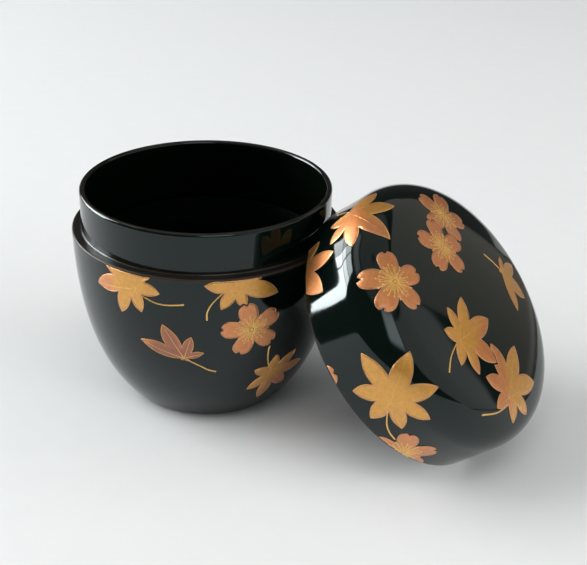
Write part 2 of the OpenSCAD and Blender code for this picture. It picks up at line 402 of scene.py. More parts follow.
def add_turned(draft: MeshDraft, outline: np.ndarray, finishes: np.ndarray, **values: np.ndarray) -> None:
    """Spins an outline about the axis into a draft.

    Args:
        draft: The draft that takes the shell.
        outline: Radius and height of each point, from axis to axis or round a closed ring.
        finishes: Place in the piece's materials of the step from each point to the next.
        **values: Numbers for each point of the outline, by name.
    """
    angles = np.arange(TURN_SEGMENTS) * (2 * math.pi / TURN_SEGMENTS)
    points: list[np.ndarray] = []
    rows: list[np.ndarray] = []
    first = 0
    for radius, height in outline:
        on_axis = radius < TINY
        ring = angles[:1] if on_axis else angles
        heights = np.full(len(ring), height)
        points.append(np.stack([radius * np.cos(ring), radius * np.sin(ring), heights], axis=1))
        rows.append(np.broadcast_to(np.arange(first, first + len(ring)), TURN_SEGMENTS))
        first += len(ring)
    closed = outline[0, 0] > TINY
    pairs = list(zip(rows, rows[1:])) + ([(rows[-1], rows[0])] if closed else [])
    faces = []
    for low, high in pairs:
        for i in range(TURN_SEGMENTS):
            j = (i + 1) % TURN_SEGMENTS
            corners = (int(low[i]), int(low[j]), int(high[j]), int(high[i]))
            faces.append(tuple(dict.fromkeys(corners)))
    counts = [len(ring) for ring in points]
    spread = {name: np.repeat(numbers, counts) for name, numbers in values.items()}
    draft.add(np.concatenate(points), faces, np.repeat(finishes[: len(pairs)], TURN_SEGMENTS), **spread)


# Materials


class Nodes:
    """A node tree that is written a node at a time."""

    def __init__(self, tree: bpy.types.NodeTree) -> None:
        """Keeps the tree."""
        self.tree = tree

    def add(self, kind: str, settings: dict[str, object] | None = None, **inputs: object) -> bpy.types.Node:
        """Adds a node.

        Args:
            kind: Blender's name for the node's type.
            settings: Properties of the node.
            **inputs: Values or sockets for its inputs, by name with _ for a space, or in0, in1 by order.

        Returns:
            The node.
        """
        node = self.tree.nodes.new(kind)
        for name, value in (settings or {}).items():
            setattr(node, name, value)
        for name, value in inputs.items():
            order = name[2:] if name.startswith("in") and name[2:].isdigit() else None
            self.fill(node.inputs[int(order) if order else name.replace("_", " ")], value)
        return node

    def fill(self, socket: bpy.types.NodeSocket, value: object) -> None:
        """Links an input to another node's socket, or sets its value.

        Args:
            socket: The input.
            value: The other node's socket, or the value.
        """
        if isinstance(value, bpy.types.NodeSocket):
            self.tree.links.new(value, socket)
        else:
            socket.default_value = value

    def math(self, operation: str, *values: object) -> bpy.types.NodeSocket:
        """Adds a Math node.

        Args:
            operation: What it works out.
            *values: Values or sockets for its inputs, in order.

        Returns:
            Its output.
        """
        inputs = {f"in{i}": value for i, value in enumerate(values)}
        return self.add("ShaderNodeMath", {"operation": operation}, **inputs).outputs[0]

    def mix(self, share: object, first: object, second: object, blend: str = "MIX") -> bpy.types.NodeSocket:
        """Mixes two colours.

        Args:
            share: How much of the second colour shows.
            first: Colour at share 0.
            second: Colour at share 1.
            blend: Blend mode.

        Returns:
            The mixed colour's socket.
        """
        node = self.add("ShaderNodeMix", {"data_type": "RGBA", "blend_type": blend, "clamp_factor": True})
        for place, value in ((0, share), (6, first), (7, second)):
            self.fill(node.inputs[place], value)
        return node.outputs[2]

    def noise(
        self, place: object, scale: object, detail: float, roughness: float = 0.5
    ) -> bpy.types.NodeSocket:
        """Adds a noise.

        Args:
            place: Where it is read.
            scale: Its lumps in a metre.
            detail: How many finer layers it has.
            roughness: How strong each is beside the one before.

        Returns:
            The noise, 0 to 1.
        """
        inputs = {"Vector": place, "Scale": scale, "Detail": detail, "Roughness": roughness}
        return self.add("ShaderNodeTexNoise", **inputs).outputs["Fac"]

    def value(self, name: str) -> bpy.types.NodeSocket:
        """Reads a number that the mesh carries."""
        return self.add("ShaderNodeAttribute", {"attribute_name": name}).outputs["Fac"]

    def own_place(self) -> bpy.types.NodeSocket:
        """Reads the place on the closed caddy, in metres, that the mesh carries."""
        return self.add("ShaderNodeAttribute", {"attribute_name": "own"}).outputs["Vector"]

    def spread(self, value: object, span: Span, onto: Span) -> bpy.types.NodeSocket:
        """Maps a range of values to another, and holds the ends.

        Args:
            value: The value's socket.
            span: Lowest and highest value.
            onto: What these two become.

        Returns:
            The mapped value's socket.
        """
        ends = {"in1": span[0], "in2": span[1], "in3": onto[0], "in4": onto[1]}
        return self.add("ShaderNodeMapRange", {"clamp": True}, in0=value, **ends).outputs[0]


def rgba(colour: Colour) -> tuple[float, float, float, float]:
    """Adds a full alpha to a colour."""
    return (*colour, 1.0)


def new_group(
    name: str, inputs: dict[str, tuple[str, object]], outputs: dict[str, str]
) -> tuple[Nodes, bpy.types.Node, bpy.types.Node]:
    """Starts a shader node group.

    Args:
        name: The group's name.
        inputs: Socket type and default value of each input.
        outputs: Socket type of each output.

    Returns:
        The tree's writer, the group's input node and its output node.
    """
    tree = bpy.data.node_groups.new(name, "ShaderNodeTree")
    for label, (kind, default) in inputs.items():
        socket = tree.interface.new_socket(label, in_out="INPUT", socket_type=kind)
        socket.default_value = default
    for label, kind in outputs.items():
        tree.interface.new_socket(label, in_out="OUTPUT", socket_type=kind)
    nodes = Nodes(tree)
    return nodes, nodes.add("NodeGroupInput"), nodes.add("NodeGroupOutput")


FLOAT = "NodeSocketFloat"
COLOUR = "NodeSocketColor"
UNIT = (0.0, 1.0)

# Powder: the span that its noises mostly keep to, and how far blush, light and roughness swing with them
MIDDLING = (0.3, 0.7)
DRIFT_SWING = (-0.16, 0.16)
GLINT_SWING = (0.86, 1.12)
MOTTLE_SWING = (-0.09, 0.09)
ROUGH_SWING = (-0.07, 0.09)
MOTTLE_RELIEF = 0.6


def polish_group() -> bpy.types.NodeTree:
    """Builds the group of polishing marks: faint rings about the axis, cloudy haze and a slow ripple.

    Returns:
        The group.
    """
    nodes, given, out = new_group(
        "polish_marks",
        {
            "Roughness": (FLOAT, 0.06),
            "Haze": (FLOAT, 0.02),
            "Ring Scale": (FLOAT, 900.0),
            "Cloud Scale": (FLOAT, 140.0),
            "Ripple Scale": (FLOAT, 55.0),
            "Ring Stretch": (FLOAT, 0.0012),
            "Ring Share": (FLOAT, 0.02),
        },
        {"Roughness": FLOAT, "Height": FLOAT},
    )
    place = nodes.own_place()
    parts = nodes.add("ShaderNodeSeparateXYZ", in0=place)
    flat = nodes.add("ShaderNodeCombineXYZ", in0=parts.outputs[0], in1=parts.outputs[1])
    reach = nodes.add("ShaderNodeVectorMath", {"operation": "LENGTH"}, in0=flat.outputs[0]).outputs["Value"]
    turn = nodes.math("ARCTAN2", parts.outputs[1], parts.outputs[0])
    along = nodes.math("MULTIPLY", turn, given.outputs["Ring Stretch"])
    swept = nodes.add("ShaderNodeCombineXYZ", in0=reach, in1=parts.outputs[2], in2=along).outputs[0]
    rings = nodes.noise(swept, given.outputs["Ring Scale"], 3.0)
    cloud = nodes.noise(place, given.outputs["Cloud Scale"], 4.0)
    ripple = nodes.noise(place, given.outputs["Ripple Scale"], 1.0)
    marks = nodes.math("MULTIPLY", rings, cloud)
    hazed = nodes.math("MULTIPLY_ADD", marks, given.outputs["Haze"], given.outputs["Roughness"])
    height = nodes.math("MULTIPLY_ADD", rings, given.outputs["Ring Share"], ripple)
    nodes.tree.links.new(hazed, out.inputs["Roughness"])
    nodes.tree.links.new(height, out.inputs["Height"])
    return nodes.tree


def grain_group() -> bpy.types.NodeTree:
    """Builds the group of sprinkled metal powder: flakes of uneven brightness over a mottled ground.

    Returns:
        The group.
    """
    nodes, given, out = new_group(
        "powder_grain",
        {
            "Ground": (COLOUR, (0.6, 0.3, 0.07, 1.0)),
            "Blush": (COLOUR, (0.5, 0.18, 0.09, 1.0)),
            "Rim": (COLOUR, (0.7, 0.4, 0.2, 1.0)),
            "Rim Share": (FLOAT, 0.3),
            "Flake Scale": (FLOAT, 6500.0),
            "Mottle Scale": (FLOAT, 900.0),
            "Drift Scale": (FLOAT, 260.0),
            "Roughness": (FLOAT, 0.42),
        },
        {"Color": COLOUR, "Roughness": FLOAT, "Height": FLOAT},
    )
    place = nodes.own_place()
    flakes = nodes.add("ShaderNodeTexVoronoi", Vector=place, Scale=given.outputs["Flake Scale"])
    mottle = nodes.noise(place, given.outputs["Mottle Scale"], 5.0, 0.65)
    drift = nodes.noise(place, given.outputs["Drift Scale"], 3.0)
    shaded = nodes.math("ADD", nodes.value("blush"), nodes.spread(drift, MIDDLING, DRIFT_SWING))
    ground = nodes.mix(shaded, given.outputs["Ground"], given.outputs["Blush"])
    edge = nodes.math("MULTIPLY", nodes.value("rim"), given.outputs["Rim Share"])
    ground = nodes.mix(edge, ground, given.outputs["Rim"])
    spark = nodes.add("ShaderNodeSeparateColor", in0=flakes.outputs["Color"]).outputs[0]
    glint = nodes.spread(spark, UNIT, GLINT_SWING)
    light = nodes.math("ADD", glint, nodes.spread(mottle, MIDDLING, MOTTLE_SWING))
    grey = nodes.add("ShaderNodeCombineColor", in0=light, in1=light, in2=light).outputs[0]
    colour = nodes.mix(1.0, ground, grey, "MULTIPLY")
    rough = nodes.math("ADD", given.outputs["Roughness"], nodes.spread(spark, UNIT, ROUGH_SWING))
    height = nodes.math("MULTIPLY_ADD", mottle, MOTTLE_RELIEF, spark)
    for label, socket in (("Color", colour), ("Roughness", rough), ("Height", height)):
        nodes.tree.links.new(socket, out.inputs[label])
    return nodes.tree


def bumped(
    nodes: Nodes, height: bpy.types.NodeSocket, distance: float, strength: float
) -> bpy.types.NodeSocket:
    """Turns a height into a normal.

    Args:
        nodes: The material's writer.
        height: Height, 0 to 1.
        distance: Depth of the relief in metres.
        strength: Share of the relief that shows.

    Returns:
        The normal's socket.
    """
    return nodes.add("ShaderNodeBump", Height=height, Distance=distance, Strength=strength).outputs[0]


def new_material(name: str) -> tuple[bpy.types.Material, Nodes, bpy.types.Node]:
    """Starts a material.

    Args:
        name: The material's name.

    Returns:
        The material, its writer and its Principled shader.
    """
    material = bpy.data.materials.new(name)
    material.use_nodes = True
    nodes = Nodes(material.node_tree)
    return material, nodes, material.node_tree.nodes["Principled BSDF"]


@dataclass(frozen=True)
class LacquerFinish:
    """Polished black lacquer, with a thin brown coat where the mesh says it is worn."""

    name: str
    colour: Colour = (0.0012, 0.0042, 0.0032)
    worn: Colour = (0.050, 0.026, 0.015)
    roughness: float = 0.05
    haze: float = 0.07
    worn_roughness: float = 0.30
    patch_scale: float = 420.0
    patch_span: Span = (0.3, 0.6)
    patch_swing: Span = (0.45, 1.0)
    ripple: float = 0.00004
    ripple_share: float = 0.25
    shine: float = 0.43
    tint: Colour = (0.89, 0.99, 1.0)

    def material(self, polish: bpy.types.NodeTree) -> bpy.types.Material:
        """Makes the material.

        Args:
            polish: The group of polishing marks.

        Returns:
            The material.
        """
        made, nodes, shader = new_material(self.name)
        marks = nodes.add("ShaderNodeGroup", {"node_tree": polish}, Roughness=self.roughness, Haze=self.haze)
        patchy = nodes.noise(nodes.own_place(), self.patch_scale, 4.0)
        rubbed_off = nodes.spread(patchy, self.patch_span, self.patch_swing)
        thin = nodes.math("MULTIPLY", nodes.value("wear"), rubbed_off)
        links = nodes.tree.links
        links.new(nodes.mix(thin, rgba(self.colour), rgba(self.worn)), shader.inputs["Base Color"])
        rubbed = nodes.math("MULTIPLY_ADD", thin, self.worn_roughness, marks.outputs["Roughness"])
        links.new(rubbed, shader.inputs["Roughness"])
        relief = bumped(nodes, marks.outputs["Height"], self.ripple, self.ripple_share)
        links.new(relief, shader.inputs["Normal"])
        shader.inputs["Specular IOR Level"].default_value = self.shine
        shader.inputs["Specular Tint"].default_value = rgba(self.tint)
        return made


@dataclass(frozen=True)
class PowderFinish:
    """Metal powder under a thin clear coat of lacquer."""

    name: str
    ground: Colour
    blush: Colour
    rim: Colour
    rim_share: float
    roughness: float = 0.46
    metal: float = 0.92
    coat: float = 1.0
    coat_roughness: float = 0.24
    flake_scale: float = 6500.0
    relief: float = 0.00001
    relief_share: float = 0.5

    def material(self, grain: bpy.types.NodeTree) -> bpy.types.Material:
        """Makes the material.

        Args:
            grain: The group of sprinkled powder.

        Returns:
            The material.
        """
        made, nodes, shader = new_material(self.name)
        powder = nodes.add(
            "ShaderNodeGroup",
            {"node_tree": grain},
            Ground=rgba(self.ground),
            Blush=rgba(self.blush),
            Rim=rgba(self.rim),
            Rim_Share=self.rim_share,
            Flake_Scale=self.flake_scale,
            Roughness=self.roughness,
        )
        links = nodes.tree.links
        links.new(powder.outputs["Color"], shader.inputs["Base Color"])
        links.new(powder.outputs["Roughness"], shader.inputs["Roughness"])
        relief = bumped(nodes, powder.outputs["Height"], self.relief, self.relief_share)
        links.new(relief, shader.inputs["Normal"])
        shader.inputs["Metallic"].default_value = self.metal
        shader.inputs["Coat Weight"].default_value = self.coat
        shader.inputs["Coat Roughness"].default_value = self.coat_roughness
        return made


GOLD: Colour = (0.71, 0.355, 0.06)
COPPER: Colour = (0.68, 0.25, 0.078)
RUSSET: Colour = (0.32, 0.115, 0.065)
PALE_GOLD: Colour = (0.90, 0.55, 0.16)
PALE_COPPER: Colour = (0.74, 0.36, 0.20)

LACQUER_FINISH = LacquerFinish("lacquer_outside")
# Painted shade: the inside is black lacquer like the outside, but its colour is darker and it reflects almost
# nothing, so the insides of the cup, the collar and the lid read as shaded
SHADED_INSIDE_FINISH = LacquerFinish(
    "lacquer_inside", (0.0003, 0.0014, 0.0006), roughness=0.45, haze=0.2, shine=0.01)
LAND_FINISH = LacquerFinish("lacquer_land", (0.012, 0.010, 0.008), roughness=0.25, haze=0.15, shine=0.3)
POWDER_FINISHES = {
    Slot.GOLD: PowderFinish("gold_powder", GOLD, COPPER, PALE_COPPER, 0.25),
    Slot.COPPER: PowderFinish("copper_powder", COPPER, GOLD, PALE_COPPER, 0.35),
    Slot.RUSSET: PowderFinish("russet_powder", RUSSET, COPPER, COPPER, 0.35),
}
LINE_FINISH = PowderFinish("powder_lines", PALE_GOLD, PALE_COPPER, PALE_GOLD, 0.0, roughness=0.42, coat=0.5)


# Motifs


@dataclass(frozen=True)
class Stroke:
    """A brushed line: its points, its width at both ends, its foot and its height, and its blush."""

    points: np.ndarray
    start_w: float
    end_w: float
    foot: float
    rise: float
    blush: float = 0.0


@dataclass(frozen=True)
class Dot:
    """A raised dot: where it is, its radius, its foot and its height."""

    at: np.ndarray
    radius: float
    foot: float
    rise: float


def polar(radius: float | np.ndarray, angle: float | np.ndarray) -> np.ndarray:
    """Point, or points, at a radius and an angle in degrees."""
    turn = np.radians(angle)
    return np.stack([radius * np.cos(turn), radius * np.sin(turn)], axis=-1)


def eased(value: np.ndarray) -> np.ndarray:
    """Smooth step from 0 to 1."""
    held = np.clip(value, 0.0, 1.0)
    return held * held * (3 - 2 * held)


def curved(start: np.ndarray, middle: np.ndarray, end: np.ndarray, steps: int) -> np.ndarray:
    """Draws a quadratic curve.

    Args:
        start: Its first point.
        middle: The point that pulls it.
        end: Its last point.
        steps: Number of steps.

    Returns:
        Its points, one more than the steps.
    """
    t = np.linspace(0, 1, steps + 1)[:, None]
    return (1 - t) ** 2 * start + 2 * t * (1 - t) * middle + t**2 * end


def smoothed(points: np.ndarray, rounds: int = 2) -> np.ndarray:
    """Cuts the corners of an open line, with its ends kept.

    Args:
        points: The line's points.
        rounds: How many times its corners are cut.

    Returns:
        The smoother line.
    """
    for _ in range(rounds):
        near = 0.75 * points[:-1] + 0.25 * points[1:]
        far = 0.25 * points[:-1] + 0.75 * points[1:]
        middle = np.stack([near, far], axis=1).reshape(-1, 2)
        points = np.concatenate([points[:1], middle[1:-1], points[-1:]])
    return points


def resampled(points: np.ndarray, step: float, closed: bool = False) -> np.ndarray:
    """Splits a line so that no step is longer than a given one.

    Args:
        points: The line's points, which all stay.
        step: Longest step.
        closed: Whether the line returns to its start.

    Returns:
        The split line.
    """
    ends = np.roll(points, -1, axis=0) if closed else points[1:]
    parts = []
    for start, end in zip(points, ends):
        pieces = max(1, math.ceil(np.linalg.norm(end - start) / step))
        parts.append(start + (end - start) * (np.arange(pieces) / pieces)[:, None])
    if not closed:
        parts.append(points[-1:])
    return np.concatenate(parts)


def within(loop: np.ndarray, points: np.ndarray) -> np.ndarray:
    """Tells which points lie inside a closed loop.

    Args:
        loop: The loop's points.
        points: The points, one row each.

    Returns:
        Whether each lies inside.
    """
    inside = np.zeros(len(points), bool)
    for a, b in zip(loop, np.roll(loop, -1, axis=0)):
        spans = (a[1] > points[:, 1]) != (b[1] > points[:, 1])
        fall = b[1] - a[1] if b[1] != a[1] else TINY
        inside ^= spans & (points[:, 0] < a[0] + (points[:, 1] - a[1]) / fall * (b[0] - a[0]))
    return inside


def nearest(points: np.ndarray, starts: np.ndarray, ends: np.ndarray) -> np.ndarray:
    """Measures points against straight edges.

    Args:
        points: The points, one row each.
        starts: First end of each edge.
        ends: Last end of each edge.

    Returns:
        Distance from each point to its nearest edge.
    """
    way = ends - starts
    length = np.maximum((way * way).sum(axis=1), TINY**2)
    share = np.clip(((points[:, None, :] - starts) * way).sum(axis=2) / length, 0, 1)
    return np.linalg.norm(points[:, None, :] - starts - share[..., None] * way, axis=2).min(axis=1)


@dataclass(frozen=True)
class Seat:
    """Plane that a motif is drawn on: its middle, and its right, up and outward directions."""

    middle: np.ndarray
    right: np.ndarray
    up: np.ndarray
    out: np.ndarray

    def in_plane(self, points: np.ndarray) -> np.ndarray:
        """Plane coordinates of points in space."""
        return np.stack([(points - self.middle) @ self.right, (points - self.middle) @ self.up], axis=1)

    def landed(self, surface: TurnedSurface, flat: np.ndarray, height: np.ndarray | float) -> np.ndarray:
        """Drops plane points onto a surface along the plane's normal, and lifts them off it.

        Args:
            surface: The surface.
            flat: Plane coordinates, one row each.
            height: Lift along the surface's own normal.

        Returns:
            Points in space.
        """
        points = self.middle + flat[:, :1] * self.right + flat[:, 1:] * self.up
        for _ in range(LANDING_ROUNDS):
            gap, normal = surface.gap(points)
            points = points - (gap / (normal @ self.out))[:, None] * self.out
        normal = surface.gap(points)[1]
        return points + np.broadcast_to(height, len(points))[:, None] * normal


# Sizes of the films in millimetres: heights are over the lacquer, and steps are those of the mesh
FILM_H = 0.11
FILM_FOOT = -0.06
FILM_EDGE = 0.28
LINE_FOOT = FILM_H - 0.03
LINE_RISE = 0.05
RIM_INSET = 0.10
RIM_W = 0.17
RIM_FADE = 0.7
GRID_STEP = 0.34
LINE_STEP = 0.3


@dataclass(frozen=True)
class Motif(ABC):
    """A leaf or blossom of powder on the closed caddy, with sizes in millimetres and angles in degrees."""

    name: str
    slot: Slot
    azimuth: float
    place: float
    covered_by: str = field(default="", kw_only=True)

    @abstractmethod
    def outline(self) -> np.ndarray:
        """Closed outline in the motif's plane."""

    @abstractmethod
    def strokes(self) -> list[Stroke]:
        """Raised lines of the motif."""

    @abstractmethod
    def dots(self) -> list[Dot]:
        """Raised dots of the motif."""

    @abstractmethod
    def blush(self, flat: np.ndarray) -> np.ndarray:
        """Share of the second powder at points of the plane."""

    def seat(self) -> Seat:
        """Places the motif on the closed caddy.

        Returns:
            The plane that it is drawn on.
        """
        surface = CUP_SIDE if self.place < 0 else LID_OUTSIDE
        radius, height, angle = surface.station(self.place)
        turn = math.radians(self.azimuth)
        radial = np.array([math.cos(turn), math.sin(turn), 0.0])
        axis = np.array([0.0, 0.0, 1.0])
        return Seat(
            radius * radial + height * axis,
            np.array([-math.sin(turn), math.cos(turn), 0.0]),
            math.cos(angle) * axis - math.sin(angle) * radial,
            math.cos(angle) * radial + math.sin(angle) * axis,
        )

    def rim_line(self, blush: float) -> Stroke:
        """Raised line just inside the outline.

        Args:
            blush: Share of the second powder.

        Returns:
            The line.
        """
        loop = self.outline()
        reach = np.linalg.norm(loop, axis=1, keepdims=True)
        drawn = loop * (1 - RIM_INSET / np.maximum(reach, RIM_INSET))
        return Stroke(np.concatenate([drawn, drawn[:1]]), RIM_W, RIM_W, LINE_FOOT, LINE_RISE, blush)


@dataclass(frozen=True)
class Leaf(Motif):
    """A maple leaf: lobes and a stem as (angle, length), and which way and from where it blushes."""

    lobes: tuple[tuple[float, float], ...]
    stem: tuple[tuple[float, float], ...]
    blush_way: float = 0.0
    blush_from: float = 30.0
    vein_root: float = 0.55
    vein_w: float = 0.12
    notch_share: float = 0.5
    bulge: float = 0.25
    side_steps: int = 12
    stem_w: float = 0.46
    stem_taper: Span = (0.8, 1.15)
    stem_end: float = 0.62
    stem_foot: float = -0.03
    stem_rise: float = 0.17
    stem_end_rise: float = 0.2
    vein_reach: float = 0.86
    vein_blush: float = 0.15
    rim_blush: float = 0.55
    blush_fade: float = 3.5

    def tips(self) -> list[np.ndarray]:
        """Tips of the lobes."""
        return [polar(length, angle) for angle, length in self.lobes]

    def outline(self) -> np.ndarray:
        """Draws the lobes: each runs from a notch out to its tip and back, with bulging sides.

        Returns:
            The closed outline.
        """
        count = len(self.lobes)
        notches = []
        for (angle, length), (after, next_length) in zip(self.lobes, self.lobes[1:] + self.lobes[:1]):
            gap = (after - angle) % 360
            notches.append(polar(self.notch_share * min(length, next_length), angle + gap / 2))
        sides = []
        for i, tip in enumerate(self.tips()):
            for start, end in ((notches[i - 1], tip), (tip, notches[i % count])):
                way = end - start
                middle = (start + end) / 2 + self.bulge * np.array([way[1], -way[0]])
                sides.append(curved(start, middle, end, self.side_steps)[:-1])
        return np.concatenate(sides)

    def strokes(self) -> list[Stroke]:
        """Draws the stem, the rim and the midrib of each lobe.

        Returns:
            The lines.
        """
        stem = np.array([polar(length, angle) for angle, length in self.stem])
        root = stem[0] * self.vein_root
        widths = [self.stem_w * taper for taper in self.stem_taper]
        lines = [Stroke(smoothed(stem), *widths, self.stem_foot, self.stem_rise)]
        lines.append(self.rim_line(self.rim_blush))
        for tip in self.tips():
            vein = np.stack([root, root + (tip - root) * self.vein_reach])
            lines.append(Stroke(vein, self.vein_w, self.vein_w / 2, LINE_FOOT, LINE_RISE, self.vein_blush))
        return lines

    def dots(self) -> list[Dot]:
        """A leaf has the cut end of its stem as its one dot."""
        angle, length = self.stem[-1]
        return [Dot(polar(length, angle), self.stem_end * self.stem_w, self.stem_foot, self.stem_end_rise)]

    def blush(self, flat: np.ndarray) -> np.ndarray:
        """The second powder comes in over a few millimetres along the blush's way."""
        along = flat @ polar(1.0, self.blush_way)
        return eased((along - self.blush_from) / self.blush_fade + 0.5)


@dataclass(frozen=True)
class Blossom(Motif):
    """A cherry blossom with five nicked petals and a tuft of stamens."""

    turn: float
    radius: float = 7.3
    petals: int = 5
    waist: float = 0.44
    belly: tuple[float, float] = (0.68, 0.32)
    tooth: tuple[float, float] = (1.0, 0.09)
    tip_pull: float = 0.94
    root_pull: float = 0.5
    nick: float = 0.91
    rim_blush: float = 0.9
    stamens: int = 50
    stamen_reaches: tuple[float, ...] = (0.54, 0.28, 0.47, 0.38, 0.50)
    stamen_root: float = 0.5
    stamen_sway: float = 5.0
    stamen_bow: float = 9.0
    stamen_bend: float = 0.55
    stamen_uneven: float = 0.06
    stamen_w: Span = (0.19, 0.22)
    stamen_rise: float = 0.055
    anther_r: float = 0.25
    anther_rise: float = 0.08
    pistil_r: float = 0.42
    pistil_rise: float = 0.09
    dust: float = 0.4
    dust_r: float = 0.36

    def half_petal(self) -> np.ndarray:
        """Draws the left edge of a petal along +X, for radius 1.

        Returns:
            Its points, from the tooth to the waist.
        """
        half = math.pi / self.petals
        belly, tooth = np.array(self.belly), np.array(self.tooth)
        waist = self.waist * np.array([math.cos(half), math.sin(half)])
        tip = curved(tooth, np.array([self.tip_pull, belly[1]]), belly, steps=8)
        root = curved(belly, np.array([self.root_pull, belly[1]]), waist, steps=6)
        return np.concatenate([tip[:-1], root])

    def outline(self) -> np.ndarray:
        """Draws the petals, which swell from the waist and end in a nicked tip.

        Returns:
            The closed outline.
        """
        left = self.half_petal()
        right = left[-2::-1] * (1, -1)
        petal = self.radius * np.concatenate([right, [(self.nick, 0.0)], left])
        loop = []
        for i in range(self.petals):
            turn = math.radians(self.turn + 360 * i / self.petals)
            across = np.array([[math.cos(turn), math.sin(turn)], [-math.sin(turn), math.cos(turn)]])
            loop.append(petal @ across)
        return np.concatenate(loop)

    def stamen_ends(self) -> list[tuple[np.ndarray, np.ndarray, np.ndarray]]:
        """Draws the stamens, long and short by turns, with a little sway.

        Returns:
            Start, bend and end of each.
        """
        ends = []
        # Sines of uneven steps keep the tuft from looking ruled
        for i in range(self.stamens):
            angle = self.turn + 360 * i / self.stamens + self.stamen_sway * math.sin(2.3 * i)
            longest = self.radius * self.stamen_reaches[i % len(self.stamen_reaches)]
            reach = longest * (1 + self.stamen_uneven * math.sin(1.7 * i))
            bow = self.stamen_bow * math.sin(3.1 * i + self.turn)
            root = polar(self.stamen_root, angle)
            ends.append((root, polar(self.stamen_bend * reach, angle + bow), polar(reach, angle)))
        return ends

    def strokes(self) -> list[Stroke]:
        """Draws the rim and the stamens.

        Returns:
            The lines.
        """
        lines = [self.rim_line(self.rim_blush)]
        for start, bend, end in self.stamen_ends():
            hair = curved(start, bend, end, steps=6)
            lines.append(Stroke(hair, *self.stamen_w, LINE_FOOT, self.stamen_rise))
        return lines

    def dots(self) -> list[Dot]:
        """Anthers at the stamens' ends, and the pistil."""
        anthers = [Dot(end, self.anther_r, LINE_FOOT, self.anther_rise) for _, _, end in self.stamen_ends()]
        return [*anthers, Dot(np.zeros(2), self.pistil_r, LINE_FOOT, self.pistil_rise)]

    def blush(self, flat: np.ndarray) -> np.ndarray:
        """The second powder is dusted round the middle."""
        reach = np.linalg.norm(flat, axis=1) / self.radius
        return self.dust * np.exp(-((reach / self.dust_r) ** 2))


# Scatter of motifs: azimuth and place on the closed caddy, then lobes, stem and blush, or turn
FOLDED = ((-30, 1.5), (20, 5), (73, 6.7), (117, 10.3), (162, 10.8), (215, 1))
FOLDED_STEM = ((-33, 0.6), (-33, 4.5), (-35, 6.5), (-32, 8.2))
SCATTER: tuple[Motif, ...] = (
    Leaf("left_maple", Slot.GOLD, -117, -2.6,
         ((-161, 10.8), (-109, 9.3), (-70, 7.8), (-12, 7.6), (38, 8.5), (85, 10), (148, 9.5)),
         ((-45, 4), (-34, 7.6), (-25, 10.2), (-17, 13)), -170, 5.2),
    Leaf("crossing_maple", Slot.GOLD, -73.5, -2.1,
         ((-124, 6.6), (-72, 6), (-18, 10.4), (42, 11.6), (90, 11.6), (137, 8.6), (174, 7.4)),
         ((-160, 3.4), (-147, 6.8), (-138, 9.2), (-130, 10.5)), 70, 4.0, covered_by="front_blossom"),
    Leaf("side_maple", Slot.RUSSET, -95.5, -21.3,
         FOLDED, FOLDED_STEM, 165, 8.5, vein_root=0.0, vein_w=0.24),
    Blossom("front_blossom", Slot.COPPER, -67, -13.9, 30),
    Leaf("low_maple", Slot.GOLD, -54, -29.1,
         ((-141, 7.4), (-98, 10), (-52, 8.6), (-8, 10.4), (36, 8.2), (84, 5.8), (157, 5.6)),
         ((119, 2.6), (111, 5.9), (106, 8.4), (103, 9.4)), -35, 2.5),
    Blossom("right_blossom", Slot.COPPER, -28, -5.4, 18),
    Blossom("seam_blossom", Slot.COPPER, 15, 1.4, 54),
    Leaf("back_maple", Slot.GOLD, 62, -14,
         ((-150, 7), (-98, 9.5), (-48, 9), (0, 7.4), (50, 8), (95, 10.5), (148, 9.5)),
         ((-175, 3.4), (-168, 7), (-158, 10.5)), -60, 3.0),
    Leaf("back_side_maple", Slot.RUSSET, 96, -24,
         FOLDED, FOLDED_STEM, 165, 8.5, vein_root=0.0, vein_w=0.24),
    Blossom("back_blossom", Slot.COPPER, 122, -10, 0),
    Leaf("rear_maple", Slot.GOLD, 154, 0.5,
         ((-158, 8), (-112, 10.5), (-62, 10), (-12, 8), (40, 9), (86, 11), (140, 9.5)),
         ((175, 3.4), (166, 7), (158, 10)), 20, 4.0),
    Leaf("shoulder_maple", Slot.GOLD, -88.5, 13.2,
         ((-97, 6.8), (-41, 7.8), (10, 9.8), (54, 10.3), (123, 9.1), (163, 10.2)),
         ((-150, 3.6), (-141, 6.4), (-133, 9.4)), -45, -3.0),
    Blossom("near_blossom", Slot.COPPER, -52.9, 23.2, 40),
    Blossom("upper_blossom", Slot.COPPER, -130.5, 29.7, 19, covered_by="lower_blossom"),
    Blossom("lower_blossom", Slot.COPPER, -100.5, 36.1, 15),
    Leaf("edge_maple", Slot.GOLD, 159.5, 35.1,
         ((60, 1.6), (158, 10.1), (208, 10.1), (264, 9), (306, 5.2)),
         ((10, 0.3), (26, 4.2), (29, 7)), 200, 9.0),
    Leaf("centre_maple", Slot.GOLD, -5, 34.7,
         ((-150, 5.8), (-65, 6.8), (-24, 8.9), (17, 11.4), (70, 11.4), (121, 9.8), (160, 7.4)),
         ((-105, 3), (-94, 6.9), (-84, 9.9)), 20, 4.5),
    Leaf("far_maple", Slot.GOLD, 47.5, 27.8,
         ((-152, 7.2), (-88, 7.4), (-44, 8.8), (4, 12.2), (57, 11.6), (108, 11.4), (156, 9)),
         ((-122, 3.6), (-143, 7.6), (-159, 11.9)), 178, 0.5, covered_by="centre_maple"),
    Leaf("large_maple", Slot.GOLD, -10.5, 11.6,
         ((-121, 9.6), (-75, 9.2), (-30, 9.2), (16, 9.2), (63, 8.6), (129, 9.6), (-174, 11.2)),
         ((-58, 4.4), (-52, 8.6), (-46, 11.2), (-41, 12.8))),
    Blossom("hidden_blossom", Slot.COPPER, 205, 10, 10),
)


